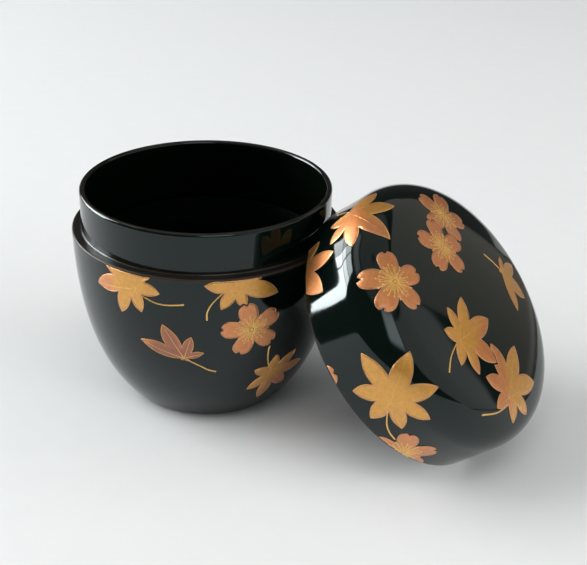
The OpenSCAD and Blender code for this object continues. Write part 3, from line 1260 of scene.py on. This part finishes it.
@dataclass
class Film:
    """A motif's film of powder on one turned piece, less what is cut off it or lies over it."""

    motif: Motif
    surface: TurnedSurface
    above: bool
    parting: float
    overlap: float = 1.05
    far: float = 60.0
    merge: float = 1e-5
    dot_sides: int = 8

    def cuts(self) -> list[np.ndarray]:
        """Finds what the parting line and a covering motif take off the film.

        Returns:
            Loops in the motif's plane inside which there is no film.
        """
        seat = self.motif.seat()
        rise = (self.parting - seat.middle[2]) / seat.up[2]
        low, high = (-self.far, rise) if self.above else (rise, self.far)
        loops = []
        if low < high:
            loops.append(np.array([(-self.far, low), (self.far, low), (self.far, high), (-self.far, high)]))
        for other in SCATTER:
            if other.name == self.motif.covered_by:
                grown = resampled(other.outline() * self.overlap, GRID_STEP, closed=True)
                loops.append(seat.in_plane(other.seat().landed(self.surface, grown, 0.0)))
        return loops

    def filled(self, cuts: Sequence[np.ndarray]) -> tuple[np.ndarray, np.ndarray]:
        """Fills the outline, less the cuts, with triangles.

        Args:
            cuts: Loops that are left out.

        Returns:
            Plane points, and triangles by their rows.
        """
        loop = resampled(self.motif.outline(), GRID_STEP, closed=True)
        low, high = loop.min(axis=0), loop.max(axis=0)
        rows = np.arange(low[1], high[1], GRID_STEP * math.sqrt(0.75))
        columns = np.arange(low[0], high[0], GRID_STEP)
        grid = np.stack(np.meshgrid(columns, rows), axis=-1)
        grid[1::2, :, 0] += GRID_STEP / 2
        grid = grid.reshape(-1, 2)
        grid = grid[within(loop, grid)]
        grid = grid[nearest(grid, loop, np.roll(loop, -1, axis=0)) > 0.5 * GRID_STEP]
        loops = [loop, *cuts]
        corners: list[list[int]] = []
        first = 0
        for each in loops:
            corners.append(list(range(first, first + len(each))))
            first += len(each)
        points = [Vector(p) for p in np.concatenate([*loops, grid])]
        coords, _, faces, _, _, sources = delaunay_2d_cdt(points, [], corners, 1, self.merge)
        kept = [face for face, source in zip(faces, sources) if list(source) == [0]]
        if not kept:
            return np.zeros((0, 2)), np.zeros((0, 3), int)
        used, order = np.unique(np.array(kept), return_inverse=True)
        return np.array([tuple(coords[i]) for i in used]), order.reshape(-1, 3)

    def add_sheet(self, draft: MeshDraft, cuts: Sequence[np.ndarray]) -> bool:
        """Adds the film as a thin closed sheet with a soft edge.

        Args:
            draft: The draft that takes it.
            cuts: Loops that are left out.

        Returns:
            Whether anything is left of the film.
        """
        flat, triangles = self.filled(cuts)
        if len(triangles) == 0:
            return False
        edges = np.concatenate([triangles[:, [0, 1]], triangles[:, [1, 2]], triangles[:, [2, 0]]])
        _, where, counts = np.unique(np.sort(edges, axis=1), axis=0, return_index=True, return_counts=True)
        border = edges[where[counts == 1]]
        inset = nearest(flat, flat[border[:, 0]], flat[border[:, 1]])
        seat = self.motif.seat()
        top = seat.landed(self.surface, flat, FILM_H * eased(inset / FILM_EDGE))
        foot = seat.landed(self.surface, flat, FILM_FOOT)
        count = len(flat)
        faces = [tuple(map(int, face)) for face in triangles]
        faces += [tuple(int(i) + count for i in face[::-1]) for face in triangles]
        faces += [(int(b), int(a), int(a) + count, int(b) + count) for a, b in border]
        blush = np.tile(self.motif.blush(flat), 2)
        rim = np.tile(np.exp(-((inset / RIM_FADE) ** 2)), 2)
        draft.add(np.concatenate([top, foot]), faces, Layer.POWDER, blush=blush, rim=rim)
        return True

    def add_stroke(self, draft: MeshDraft, stroke: Stroke, cuts: Sequence[np.ndarray]) -> None:
        """Adds a raised line where nothing cuts it off.

        Args:
            draft: The draft that takes it.
            stroke: The line.
            cuts: Loops that are left out.
        """
        points = resampled(stroke.points, LINE_STEP)
        width = np.linspace(stroke.start_w, stroke.end_w, len(points))
        shown = ~np.any([np.zeros(len(points), bool), *(within(loop, points) for loop in cuts)], axis=0)
        way = np.gradient(points, axis=0)
        way /= np.maximum(np.linalg.norm(way, axis=1, keepdims=True), TINY)
        side = np.stack([-way[:, 1], way[:, 0]], axis=1)
        seat = self.motif.seat()
        section = ((-0.5, 0.0), (-0.28, 0.78), (0.0, 1.0), (0.28, 0.78), (0.5, 0.0))
        runs = np.split(np.arange(len(points)), np.flatnonzero(np.diff(shown)) + 1)
        for run in runs:
            if not shown[run[0]] or len(run) < 2:
                continue
            rings = []
            for across, high in section:
                flat = points[run] + across * width[run, None] * side[run]
                rings.append(seat.landed(self.surface, flat, stroke.foot + high * stroke.rise))
            ring = len(section)
            faces = [tuple(range(ring))[::-1], tuple(range((len(run) - 1) * ring, len(run) * ring))]
            for i in range(len(run) - 1):
                for j in range(ring):
                    k = (j + 1) % ring
                    faces.append((i * ring + j, i * ring + k, (i + 1) * ring + k, (i + 1) * ring + j))
            sweep = np.stack(rings, axis=1).reshape(-1, 3)
            draft.add(sweep, faces, Layer.LINES, blush=stroke.blush, rim=0.0)

    def add_dot(self, draft: MeshDraft, dot: Dot, cuts: Sequence[np.ndarray]) -> None:
        """Adds a raised dot unless it is cut off.

        Args:
            draft: The draft that takes it.
            dot: The dot.
            cuts: Loops that are left out.
        """
        if any(within(loop, dot.at[None])[0] for loop in cuts):
            return
        around = self.dot_sides
        angles = np.arange(around) * 360 / around
        seat = self.motif.seat()
        section = ((1.0, 0.0), (0.8, 0.6), (0.42, 0.91))
        rings = []
        for reach, high in section:
            flat = dot.at + polar(dot.radius * reach, angles)
            rings.append(seat.landed(self.surface, flat, dot.foot + dot.rise * high))
        top = seat.landed(self.surface, dot.at[None], dot.foot + dot.rise)
        faces: list[tuple[int, ...]] = [tuple(range(around))[::-1]]
        for level in range(len(rings)):
            low, above = level * around, (level + 1) * around
            capped = level == len(rings) - 1
            for i in range(around):
                j = (i + 1) % around
                over = (above,) if capped else (above + j, above + i)
                faces.append((low + i, low + j, *over))
        draft.add(np.concatenate([*rings, top]), faces, Layer.LINES, blush=0.0, rim=0.0)

    def drafted(self) -> MeshDraft | None:
        """Drafts the sheet with its lines and dots.

        Returns:
            The draft, or None where nothing is left of the film.
        """
        draft = MeshDraft()
        cuts = self.cuts()
        if not self.add_sheet(draft, cuts):
            return None
        for stroke in self.motif.strokes():
            self.add_stroke(draft, stroke, cuts)
        for dot in self.motif.dots():
            self.add_dot(draft, dot, cuts)
        return draft


# Pieces


@dataclass
class Palette:
    """The materials that the pieces share."""

    outside: bpy.types.Material
    inside: bpy.types.Material
    land: bpy.types.Material
    lines: bpy.types.Material
    powders: dict[Slot, bpy.types.Material]

    def lacquers(self) -> list[bpy.types.Material]:
        """Materials of a turned piece, in the order that the Lacquer enum gives."""
        return [self.outside, self.inside, self.land]

    @classmethod
    def mixed(cls) -> "Palette":
        """Makes every material of the object once.

        Returns:
            The palette.
        """
        polish, grain = polish_group(), grain_group()
        powders = {slot: finish.material(grain) for slot, finish in POWDER_FINISHES.items()}
        lacquers = [finish.material(polish) for finish in (LACQUER_FINISH, SHADED_INSIDE_FINISH, LAND_FINISH)]
        return cls(*lacquers, LINE_FINISH.material(grain), powders)


def finished(piece: bpy.types.Object, node: str, body: str) -> None:
    """Puts a piece in a solid's place.

    Args:
        piece: The piece.
        node: The solid that it stands for.
        body: The body that it rides on.
    """
    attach(piece, body)
    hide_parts(node)
    LOG.info("%s stands for %s on %s, %d faces", piece.name, node, body, len(piece.data.polygons))


@dataclass(frozen=True)
class WornSpot:
    """A ring where the lacquer is worn: its radius and height, how far it reaches and how strong it is."""

    radius: float
    height: float
    reach: float
    strength: float


class TurnedPiece(ABC):
    """A piece that is turned about the axis and dressed in lacquer."""

    @abstractmethod
    def outline(self) -> np.ndarray:
        """Radius and height of each point of the section."""

    @abstractmethod
    def finishes(self, outline: np.ndarray) -> np.ndarray:
        """Lacquer of the step from each point of the outline to the next."""

    @abstractmethod
    def worn(self) -> list[WornSpot]:
        """Rings where the lacquer is worn."""

    def lacquered(self, name: str, palette: Palette, place: Matrix) -> bpy.types.Object:
        """Turns the piece and dresses it.

        Args:
            name: The object's name.
            palette: The shared materials.
            place: Where the piece stands, in metres.

        Returns:
            The object.
        """
        outline = self.outline()
        wear = np.zeros(len(outline))
        for spot in self.worn():
            away = np.hypot(outline[:, 0] - spot.radius, outline[:, 1] - spot.height)
            wear = np.maximum(wear, spot.strength * np.exp(-((away / spot.reach) ** 2)))
        draft = MeshDraft()
        add_turned(draft, outline, self.finishes(outline), wear=wear)
        return draft.piece(name, palette.lacquers(), place)


def lay_film(film: Film, node: str, body: str, place: Matrix, palette: Palette) -> None:
    """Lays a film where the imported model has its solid.

    Args:
        film: The film.
        node: The solid's name.
        body: The body that it rides on.
        place: Where the turned piece stands.
        palette: The shared materials.
    """
    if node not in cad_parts:
        return
    draft = film.drafted()
    if draft is None:
        return
    powder = palette.powders[film.motif.slot]
    finished(draft.piece(node + "_film", [powder, palette.lines], place), node, body)


@dataclass
class Cup(TurnedPiece):
    """The cup: a turned body with a seat for the collar, and the films on its side."""

    wall: float = 2.6
    floor_t: float = 4.0
    edge_r: float = 0.4
    foot_edge: float = 0.35
    seat_r: float = 30.75
    seat_depth: float = 6.0
    bore_r: float = 29.2
    corner_r: float = 2.5
    floor_inset: float = 3.5
    floor_pull: float = 1.1
    foot_share: float = 0.985
    foot_inset: float = 3.0
    side_steps: int = 110
    edge_steps: int = 8
    land_steps: int = 8

    def outline(self) -> np.ndarray:
        """Draws the body from the middle of the foot to the middle of the floor.

        Returns:
            Radius and height of each point.
        """
        top = CUP_SIDE.shoulder_h
        edge_share = float(CUP_SIDE.share_at(self.edge_r))
        side = CUP_SIDE.curve(np.linspace(self.foot_share, edge_share, self.side_steps))
        edge = arc((side[-1, 0] - self.edge_r, side[-1, 1]), self.edge_r, 0, 90, self.edge_steps)[1:]
        steps = self.land_steps
        land = np.stack([np.linspace(edge[-1, 0], self.seat_r, steps + 1)[1:], np.full(steps, top)], axis=1)
        seat = [(self.seat_r, top - self.seat_depth), (self.bore_r, top - self.seat_depth)]
        inner = CUP_SIDE.curve(np.linspace(0, 1, self.side_steps), -self.wall)
        inner = inner[(inner[:, 0] < self.bore_r) & (inner[:, 1] > self.floor_t + self.corner_r)]
        floor_r = inner[-1, 0] - self.floor_inset
        pull = np.array([inner[-1, 0] - self.floor_pull, self.floor_t])
        bend = curved(inner[-1], pull, np.array([floor_r, self.floor_t]), steps=10)[1:]
        foot = CUP_SIDE.foot_r
        start = np.array([(0.0, 0.0), (foot - self.foot_inset, 0.0), (foot - self.foot_edge, 0.0)])
        corner = curved(start[-1], np.array([foot, 0.0]), side[0], steps=6)[1:-1]
        end = np.array([(floor_r / 2, self.floor_t), (0.0, self.floor_t)])
        return np.concatenate([start, corner, side, edge, land, seat, inner, bend, end])

    def finishes(self, outline: np.ndarray) -> np.ndarray:
        """Gives the shoulder and its edge the land's lacquer, and what comes after them the inside's.

        Args:
            outline: The cup's outline.

        Returns:
            Lacquer of each step.
        """
        land_from = int(np.argmax(outline[:, 1]))
        chosen = np.full(len(outline), Lacquer.OUTSIDE, int)
        chosen[land_from - self.edge_steps :] = Lacquer.LAND
        chosen[land_from + self.land_steps + 1 :] = Lacquer.INSIDE
        return chosen

    def worn(self) -> list[WornSpot]:
        """Finds where the shoulder is worn.

        Returns:
            Its edge, and the ring where the collar stands.
        """
        top = CUP_SIDE.shoulder_h
        edge = WornSpot(CUP_SIDE.body_r - 0.1, top - 0.1, reach=0.4, strength=0.55)
        return [edge, WornSpot(self.seat_r, top, reach=0.35, strength=0.3)]

    def build(self, palette: Palette) -> None:
        """Builds and dresses the cup and its films.

        Args:
            palette: The shared materials.
        """
        body = self.lacquered("cup_body", palette, Matrix.Identity(4))
        finished(body, "cup", CUP_BODY)
        lift = Matrix.Translation((0, 0, CUP_SIDE.shoulder_h * MM))
        for motif in SCATTER:
            film = Film(motif, CUP_SIDE, False, -self.edge_r)
            lay_film(film, "cup_" + motif.name, CUP_BODY, lift, palette)


@dataclass
class Collar(TurnedPiece):
    """The collar: a thin ring with a round lip, set into the shoulder with a bead of lacquer."""

    outer_r: float = 30.7
    wall: float = 1.5
    height: float = 10.0
    seat_depth: float = 6.0
    bead: float = 0.36
    bead_lift: float = 0.005
    bead_root: float = 0.02
    wall_steps: int = 9
    inside_after: int = 10

    def outline(self) -> np.ndarray:
        """Draws the ring's section.

        Returns:
            Radius and height of each point of the closed outline.
        """
        top = CUP_SIDE.shoulder_h
        inner_r = self.outer_r - self.wall
        lip_r = self.wall / 2
        lip = arc((self.outer_r - lip_r, top + self.height - lip_r), lip_r, 0, 180, steps=24)
        foot = np.array([(inner_r, top - self.seat_depth), (self.outer_r, top - self.seat_depth)])
        bead_at = (self.outer_r + self.bead, top + self.bead + self.bead_lift)
        bead = arc(bead_at, self.bead, 270, 180, steps=8)
        outer = upright(self.outer_r, bead[-1, 1], lip[0, 1], self.wall_steps)
        inner = upright(inner_r, lip[-1, 1], foot[0, 1], self.wall_steps)
        return np.concatenate([foot, [(self.outer_r, top - self.bead_root)], bead, outer, lip, inner])

    def finishes(self, outline: np.ndarray) -> np.ndarray:
        """Gives the ring the inside's lacquer from a little below its lip."""
        inside = np.arange(len(outline)) > np.argmax(outline[:, 1]) + self.inside_after
        return np.where(inside, int(Lacquer.INSIDE), int(Lacquer.OUTSIDE))

    def worn(self) -> list[WornSpot]:
        """Finds where the ring is worn.

        Returns:
            Its foot and its lip.
        """
        top = CUP_SIDE.shoulder_h
        foot = WornSpot(self.outer_r + 0.1, top + 0.1, reach=0.4, strength=0.35)
        lip = WornSpot(self.outer_r - self.wall / 2, top + self.height, reach=0.5, strength=0.25)
        return [foot, lip]

    def build(self, palette: Palette) -> None:
        """Builds and dresses the collar."""
        ring = self.lacquered("collar_ring", palette, Matrix.Identity(4))
        finished(ring, "collar", CUP_BODY)


@dataclass
class Lid(TurnedPiece):
    """The lid: a turned cap that leans on the collar, and the films on its outside."""

    bore_r: float = 30.85
    top_t: float = 2.4
    rim_edge: float = 0.5
    tilt: float = 49.0
    axis_azimuth: float = -28.0
    turn: float = -72.0
    collar_r: float = 30.7
    lean_azimuth: float = -21.5
    lean_gap: float = 0.1
    near_span: int = 60
    settle_rounds: int = 6
    skirt_steps: int = 13
    edge_steps: int = 8

    def inner(self) -> LidOutside:
        """Works out the inside, as an outside of its own.

        Returns:
            The inside's shape.
        """
        wall = LID_OUTSIDE.body_r - self.bore_r
        return LidOutside(
            self.bore_r,
            LID_OUTSIDE.height - self.top_t,
            LID_OUTSIDE.corner_r - wall,
            LID_OUTSIDE.dome_r - self.top_t,
        )

    def outline(self) -> np.ndarray:
        """Draws the lid from the top of the dome to the middle of the inside.

        Returns:
            Radius and height of each point.
        """
        outside = LID_OUTSIDE.crown(corner_steps=40, dome_steps=40)[::-1]
        skirt = upright(LID_OUTSIDE.body_r, LID_OUTSIDE.skirt_h, self.rim_edge, self.skirt_steps)
        edge, steps = self.rim_edge, self.edge_steps
        outer_edge = arc((LID_OUTSIDE.body_r - edge, edge), edge, 0, -90, steps)
        inner_edge = arc((self.bore_r + edge, edge), edge, 270, 180, steps)
        inside = self.inner().crown(corner_steps=28, dome_steps=28)
        return np.concatenate([outside, skirt, outer_edge, inner_edge, inside])

    def finishes(self, outline: np.ndarray) -> np.ndarray:
        """Gives the lid the inside's lacquer from its rim's inner edge."""
        inside = np.arange(len(outline)) > np.argmin(outline[:, 1]) + self.edge_steps
        return np.where(inside, int(Lacquer.INSIDE), int(Lacquer.OUTSIDE))

    def worn(self) -> list[WornSpot]:
        """The rim is worn all round."""
        return [WornSpot((LID_OUTSIDE.body_r + self.bore_r) / 2, 0.0, reach=0.9, strength=0.5)]

    def place(self) -> Matrix:
        """Leans the lid: its rim stands on the floor and comes close to the collar.

        Returns:
            Where it stands, in metres.
        """
        tilt, azimuth = math.radians(self.tilt), math.radians(self.axis_azimuth)
        ahead = np.array([math.cos(azimuth), math.sin(azimuth), 0.0])
        plumb = np.array([0.0, 0.0, 1.0])
        axis = math.sin(tilt) * ahead + math.cos(tilt) * plumb
        up = math.sin(tilt) * plumb - math.cos(tilt) * ahead
        ring_r = LID_OUTSIDE.body_r - self.rim_edge
        lift = ring_r * up[2] - self.rim_edge * axis[2] + self.rim_edge
        turns = np.radians(np.arange(-self.near_span, self.near_span + 1))[:, None]
        ring = self.rim_edge * axis + ring_r * (np.cos(turns) * up + np.sin(turns) * np.cross(up, axis))
        lean = polar(1.0, self.lean_azimuth)
        reach = self.collar_r + LID_OUTSIDE.body_r * math.cos(tilt)
        for _ in range(self.settle_rounds):
            nearness = np.linalg.norm(reach * lean + ring[:, :2], axis=1).min() - self.rim_edge
            reach += self.collar_r + self.lean_gap - nearness
        stand = Matrix.Translation(Vector((reach * lean[0], reach * lean[1], lift)) * MM)
        turned = Matrix.Rotation(math.radians(self.turn), 4, "Z")
        return stand @ Matrix.Rotation(azimuth, 4, "Z") @ Matrix.Rotation(tilt, 4, "Y") @ turned

    def build(self, palette: Palette) -> None:
        """Builds and dresses the lid and its films.

        Args:
            palette: The shared materials.
        """
        place = self.place()
        finished(self.lacquered("lid_body", palette, place), "lid", LID_BODY)
        for motif in SCATTER:
            film = Film(motif, LID_OUTSIDE, True, self.rim_edge)
            lay_film(film, "lid_" + motif.name, LID_BODY, place, palette)


# Studio


class Rays(Enum):
    """The rays that meet a card."""

    MIRRORED = "mirrored"
    SCATTERED = "scattered"


# Rows of a card from the lowest up: elevation, left and right azimuth in degrees, and share of the glow
Rows = tuple[tuple[float, float, float, float], ...]


@dataclass(frozen=True)
class Card:
    """A patch of a sphere round the object that glows, less so within soft degrees of its border."""

    name: str
    rows: Rows
    distance: float
    colour: Colour
    strength: float
    rays: Rays
    soft: float = 0.0
    step_across: float = 3.0
    step_up: float = 2.0

    def draw(self, middle: Vector) -> bpy.types.Mesh:
        """Lays out the patch, with the glow that each point carries.

        Args:
            middle: Middle of the sphere, in metres.

        Returns:
            The mesh.
        """
        heights, lefts, rights, shares = np.array(self.rows).T
        across = max(2, math.ceil((rights.max() - lefts.min()) / self.step_across))
        upward = max(2, math.ceil((heights[-1] - heights[0]) / self.step_up))
        points, faces, glow = [], [], []
        for elevation in np.linspace(heights[0], heights[-1], upward + 1):
            left, right = np.interp(elevation, heights, lefts), np.interp(elevation, heights, rights)
            for azimuth in np.linspace(left, right, across + 1):
                inset = min(elevation - heights[0], heights[-1] - elevation, azimuth - left, right - azimuth)
                fade = eased(np.array(inset / self.soft)) if self.soft else 1.0
                glow.append(float(fade * np.interp(elevation, heights, shares)))
                turn, rise = math.radians(azimuth), math.radians(elevation)
                flat = math.cos(rise)
                way = Vector((flat * math.sin(turn), flat * math.cos(turn), math.sin(rise)))
                points.append(middle + self.distance * way)
        for i in range(upward):
            for j in range(across):
                a = i * (across + 1) + j
                faces.append((a, a + 1, a + across + 2, a + across + 1))
        mesh = bpy.data.meshes.new(self.name)
        mesh.from_pydata(points, [], faces)
        mesh.attributes.new("glow", "FLOAT", "POINT").data.foreach_set("value", glow)
        return mesh

    def material(self) -> bpy.types.Material:
        """Makes the glowing material.

        Returns:
            The material.
        """
        made, nodes, shader = new_material(self.name)
        tree = nodes.tree
        tree.nodes.remove(shader)
        strength = nodes.math("MULTIPLY", nodes.value("glow"), self.strength)
        light = nodes.add("ShaderNodeEmission", Color=rgba(self.colour), Strength=strength)
        tree.links.new(light.outputs[0], tree.nodes["Material Output"].inputs["Surface"])
        return made

    def build(self, middle: Vector) -> None:
        """Makes the card, which the camera doesn't see.

        Args:
            middle: Middle of the sphere, in metres.
        """
        mesh = self.draw(middle)
        mesh.materials.append(self.material())
        card = bpy.data.objects.new(self.name, mesh)
        card.visible_camera = False
        card.visible_shadow = card.visible_transmission = False
        card.visible_diffuse = self.rays is Rays.SCATTERED
        card.visible_glossy = self.rays is Rays.MIRRORED
        bpy.context.scene.collection.objects.link(card)


def patch(azimuths: Sequence[float], elevations: Sequence[float]) -> Rows:
    """Rows of a card with upright sides and an even glow."""
    return tuple((elevation, *azimuths, 1.0) for elevation in elevations)


@dataclass
class Studio:
    """A pale floor under soft light, with a window to the left and pale walls that the lacquer mirrors."""

    middle: Vector = field(default_factory=lambda: Vector((0.03, -0.01, 0.03)))
    floor_r: float = 1.6
    floor_colour: Colour = (0.84, 0.85, 0.85)
    floor_grain: float = 160.0
    floor_paler: float = 1.03
    floor_roughness: float = 0.7
    floor_shine: float = 0.2
    world_colour: Colour = (0.96, 0.98, 1.0)
    world_glow: Span = (0.1, 0.8)
    window_glow: float = 23.0
    key_light: float = 4.9
    side_light: float = 6.9
    top_light: float = 3.0
    fill: float = 0.3
    window_colour: Colour = (0.97, 0.99, 1.0)
    window_away: float = 1.4
    pane_columns: tuple[tuple[float, ...], ...] = ((-88, -67, 1.0), (-65.5, -56, 0.9), (-55.5, -43, 0.3))
    pane_rows: tuple[tuple[float, ...], ...] = ((7.5, 19, 1.0), (20, 29, 0.8), (30, 41, 0.45))
    wall_rows: Rows = (
        (-10, 44, 84, 0.95), (-6, 45, 84, 0.36), (0, 48, 84, 0.42), (14, 49, 85, 0.62),
        (28, 50, 91, 0.82), (40, 36, 96, 0.9), (52, 4, 98, 1.0))
    pale_rows: Rows = (
        (-5, 86, 112, 1.0), (5, 86, 132, 1.0), (15, 87, 148, 1.0), (28, 83, 157, 1.0), (47, 81, 152, 1.0))
    camera_pitch: float = 27.323
    camera_roll: float = 1.56
    camera_away: float = 269.87
    camera_target: tuple[float, float, float] = (21.83, 0.0, 27.62)
    focal_px: float = 1056.08
    image_w: float = 587.0

    def panes(self) -> list[Card]:
        """Hangs the window's panes, with dark bars between them and the far and high ones dim.

        Returns:
            Their cards.
        """
        cards = []
        for i, (*azimuths, share) in enumerate(self.pane_columns):
            for j, (*elevations, dimmed) in enumerate(self.pane_rows):
                rows, glow = patch(azimuths, elevations), share * dimmed * self.window_glow
                name = f"window_pane_{i}_{j}"
                cards.append(Card(name, rows, self.window_away, self.window_colour, glow, Rays.MIRRORED))
        return cards

    def lights(self) -> list[Card]:
        """Hangs the soft lights: one by the window, one to the right, one over the camera and an even fill.

        Returns:
            Their cards.
        """
        lit = Rays.SCATTERED
        return [
            Card("key_light", patch((-108, -60), (2, 55)), 1.6, self.window_colour, self.key_light, lit),
            Card("side_light", patch((84, 132), (2, 25)), 2.2, (1.0, 0.99, 0.98), self.side_light, lit),
            Card("top_light", patch((132, 228), (55, 70)), 1.4, (1.0, 1.0, 0.99), self.top_light, lit),
            Card("fill", patch((-180, 180), (-4, 90)), 3.0, (0.98, 0.99, 1.0), self.fill, lit),
        ]

    def surroundings(self) -> list[Card]:
        """Hangs what the lacquer mirrors besides the floor and the window.

        Returns:
            The cards.
        """
        seen = Rays.MIRRORED
        return [
            Card("window_sill", patch((-97, -82), (1.5, 6.5)), 1.4, (1.0, 0.92, 0.82), 1.2, seen),
            Card("front_box", patch((146, 188), (26, 58)), 1.2, (0.95, 0.98, 1.0), 2.8, seen, soft=8.0),
            Card("pale_wall", self.pale_rows, 0.3, (1.0, 0.98, 0.93), 0.75, seen, soft=1.5),
            Card("right_wall", self.wall_rows, 0.16, (1.0, 0.92, 0.81), 0.62, seen, soft=1.5),
            Card("ceiling", patch((-180, 180), (50, 90)), 2.6, (1.0, 0.98, 0.94), 0.46, seen, soft=5.0),
            Card("left_ceiling", patch((-102, -40), (44, 62)), 1.6, (1.0, 0.99, 0.96), 1.3, seen, soft=6.0),
            Card("left_screen", patch((-165, -88), (-4, 8)), 0.45, (1.0, 0.95, 0.9), 0.06, seen),
            Card("dim_room", patch((-180, 180), (-4, 90)), 3.0, (1.0, 0.98, 0.95), 0.06, seen),
        ]

    def floor(self) -> None:
        """A round pale floor with a faint grain."""
        editable = bmesh.new()
        bmesh.ops.create_circle(editable, cap_ends=True, segments=128, radius=self.floor_r)
        mesh = bpy.data.meshes.new("floor")
        editable.to_mesh(mesh)
        editable.free()
        material, nodes, shader = new_material("pale_floor")
        grain = nodes.noise(nodes.add("ShaderNodeTexCoord").outputs["Object"], self.floor_grain, 4.0)
        paler = tuple(self.floor_paler * channel for channel in self.floor_colour)
        colour = nodes.mix(grain, rgba(self.floor_colour), rgba(paler))
        nodes.tree.links.new(colour, shader.inputs["Base Color"])
        shader.inputs["Roughness"].default_value = self.floor_roughness
        shader.inputs["Specular IOR Level"].default_value = self.floor_shine
        mesh.materials.append(material)
        floor = bpy.data.objects.new("floor", mesh)
        bpy.context.scene.collection.objects.link(floor)

    def world(self) -> None:
        """Pale behind the floor for camera, mirrored and refracted rays, and dim for the rest."""
        world = bpy.data.worlds.new("studio")
        bpy.context.scene.world = world
        world.use_nodes = True
        nodes = Nodes(world.node_tree)
        path = nodes.add("ShaderNodeLightPath")
        seen = nodes.math("MAXIMUM", path.outputs["Is Camera Ray"], path.outputs["Is Glossy Ray"])
        seen = nodes.math("MAXIMUM", seen, path.outputs["Is Transmission Ray"])
        strength = nodes.spread(seen, UNIT, self.world_glow)
        back = world.node_tree.nodes["Background"]
        back.inputs["Color"].default_value = rgba(self.world_colour)
        world.node_tree.links.new(strength, back.inputs["Strength"])

    def camera(self) -> None:
        """Camera at the photograph's place, with its small roll."""
        pitch, roll = math.radians(self.camera_pitch), math.radians(self.camera_roll)
        back = Vector((0.0, -math.cos(pitch), math.sin(pitch)))
        level = Vector((1.0, 0.0, 0.0))
        steep = back.cross(level)
        right = math.cos(roll) * level + math.sin(roll) * steep
        up = math.cos(roll) * steep - math.sin(roll) * level
        data = bpy.data.cameras.new("camera")
        data.sensor_width = 36.0
        data.lens = self.focal_px / self.image_w * data.sensor_width
        data.clip_start = 0.01
        camera = bpy.data.objects.new("camera", data)
        turned = Matrix((right, up, back)).transposed().to_4x4()
        stand = (Vector(self.camera_target) + self.camera_away * back) * MM
        camera.matrix_world = Matrix.Translation(stand) @ turned
        bpy.context.scene.collection.objects.link(camera)
        bpy.context.scene.camera = camera

    def build(self) -> None:
        """Builds the floor, the cards, the world and the camera."""
        self.floor()
        cards = [*self.panes(), *self.lights(), *self.surroundings()]
        for card in cards:
            card.build(self.middle)
        self.world()
        self.camera()
        bpy.context.scene.view_settings.view_transform = "Standard"
        LOG.info("studio with %d cards", len(cards))


def main() -> None:
    logging.basicConfig(level=logging.INFO, format="%(name)s: %(message)s")
    Studio().build()
    palette = Palette.mixed()
    for part in (Cup(), Collar(), Lid()):
        part.build(palette)


if __name__ == "__main__":
    main()
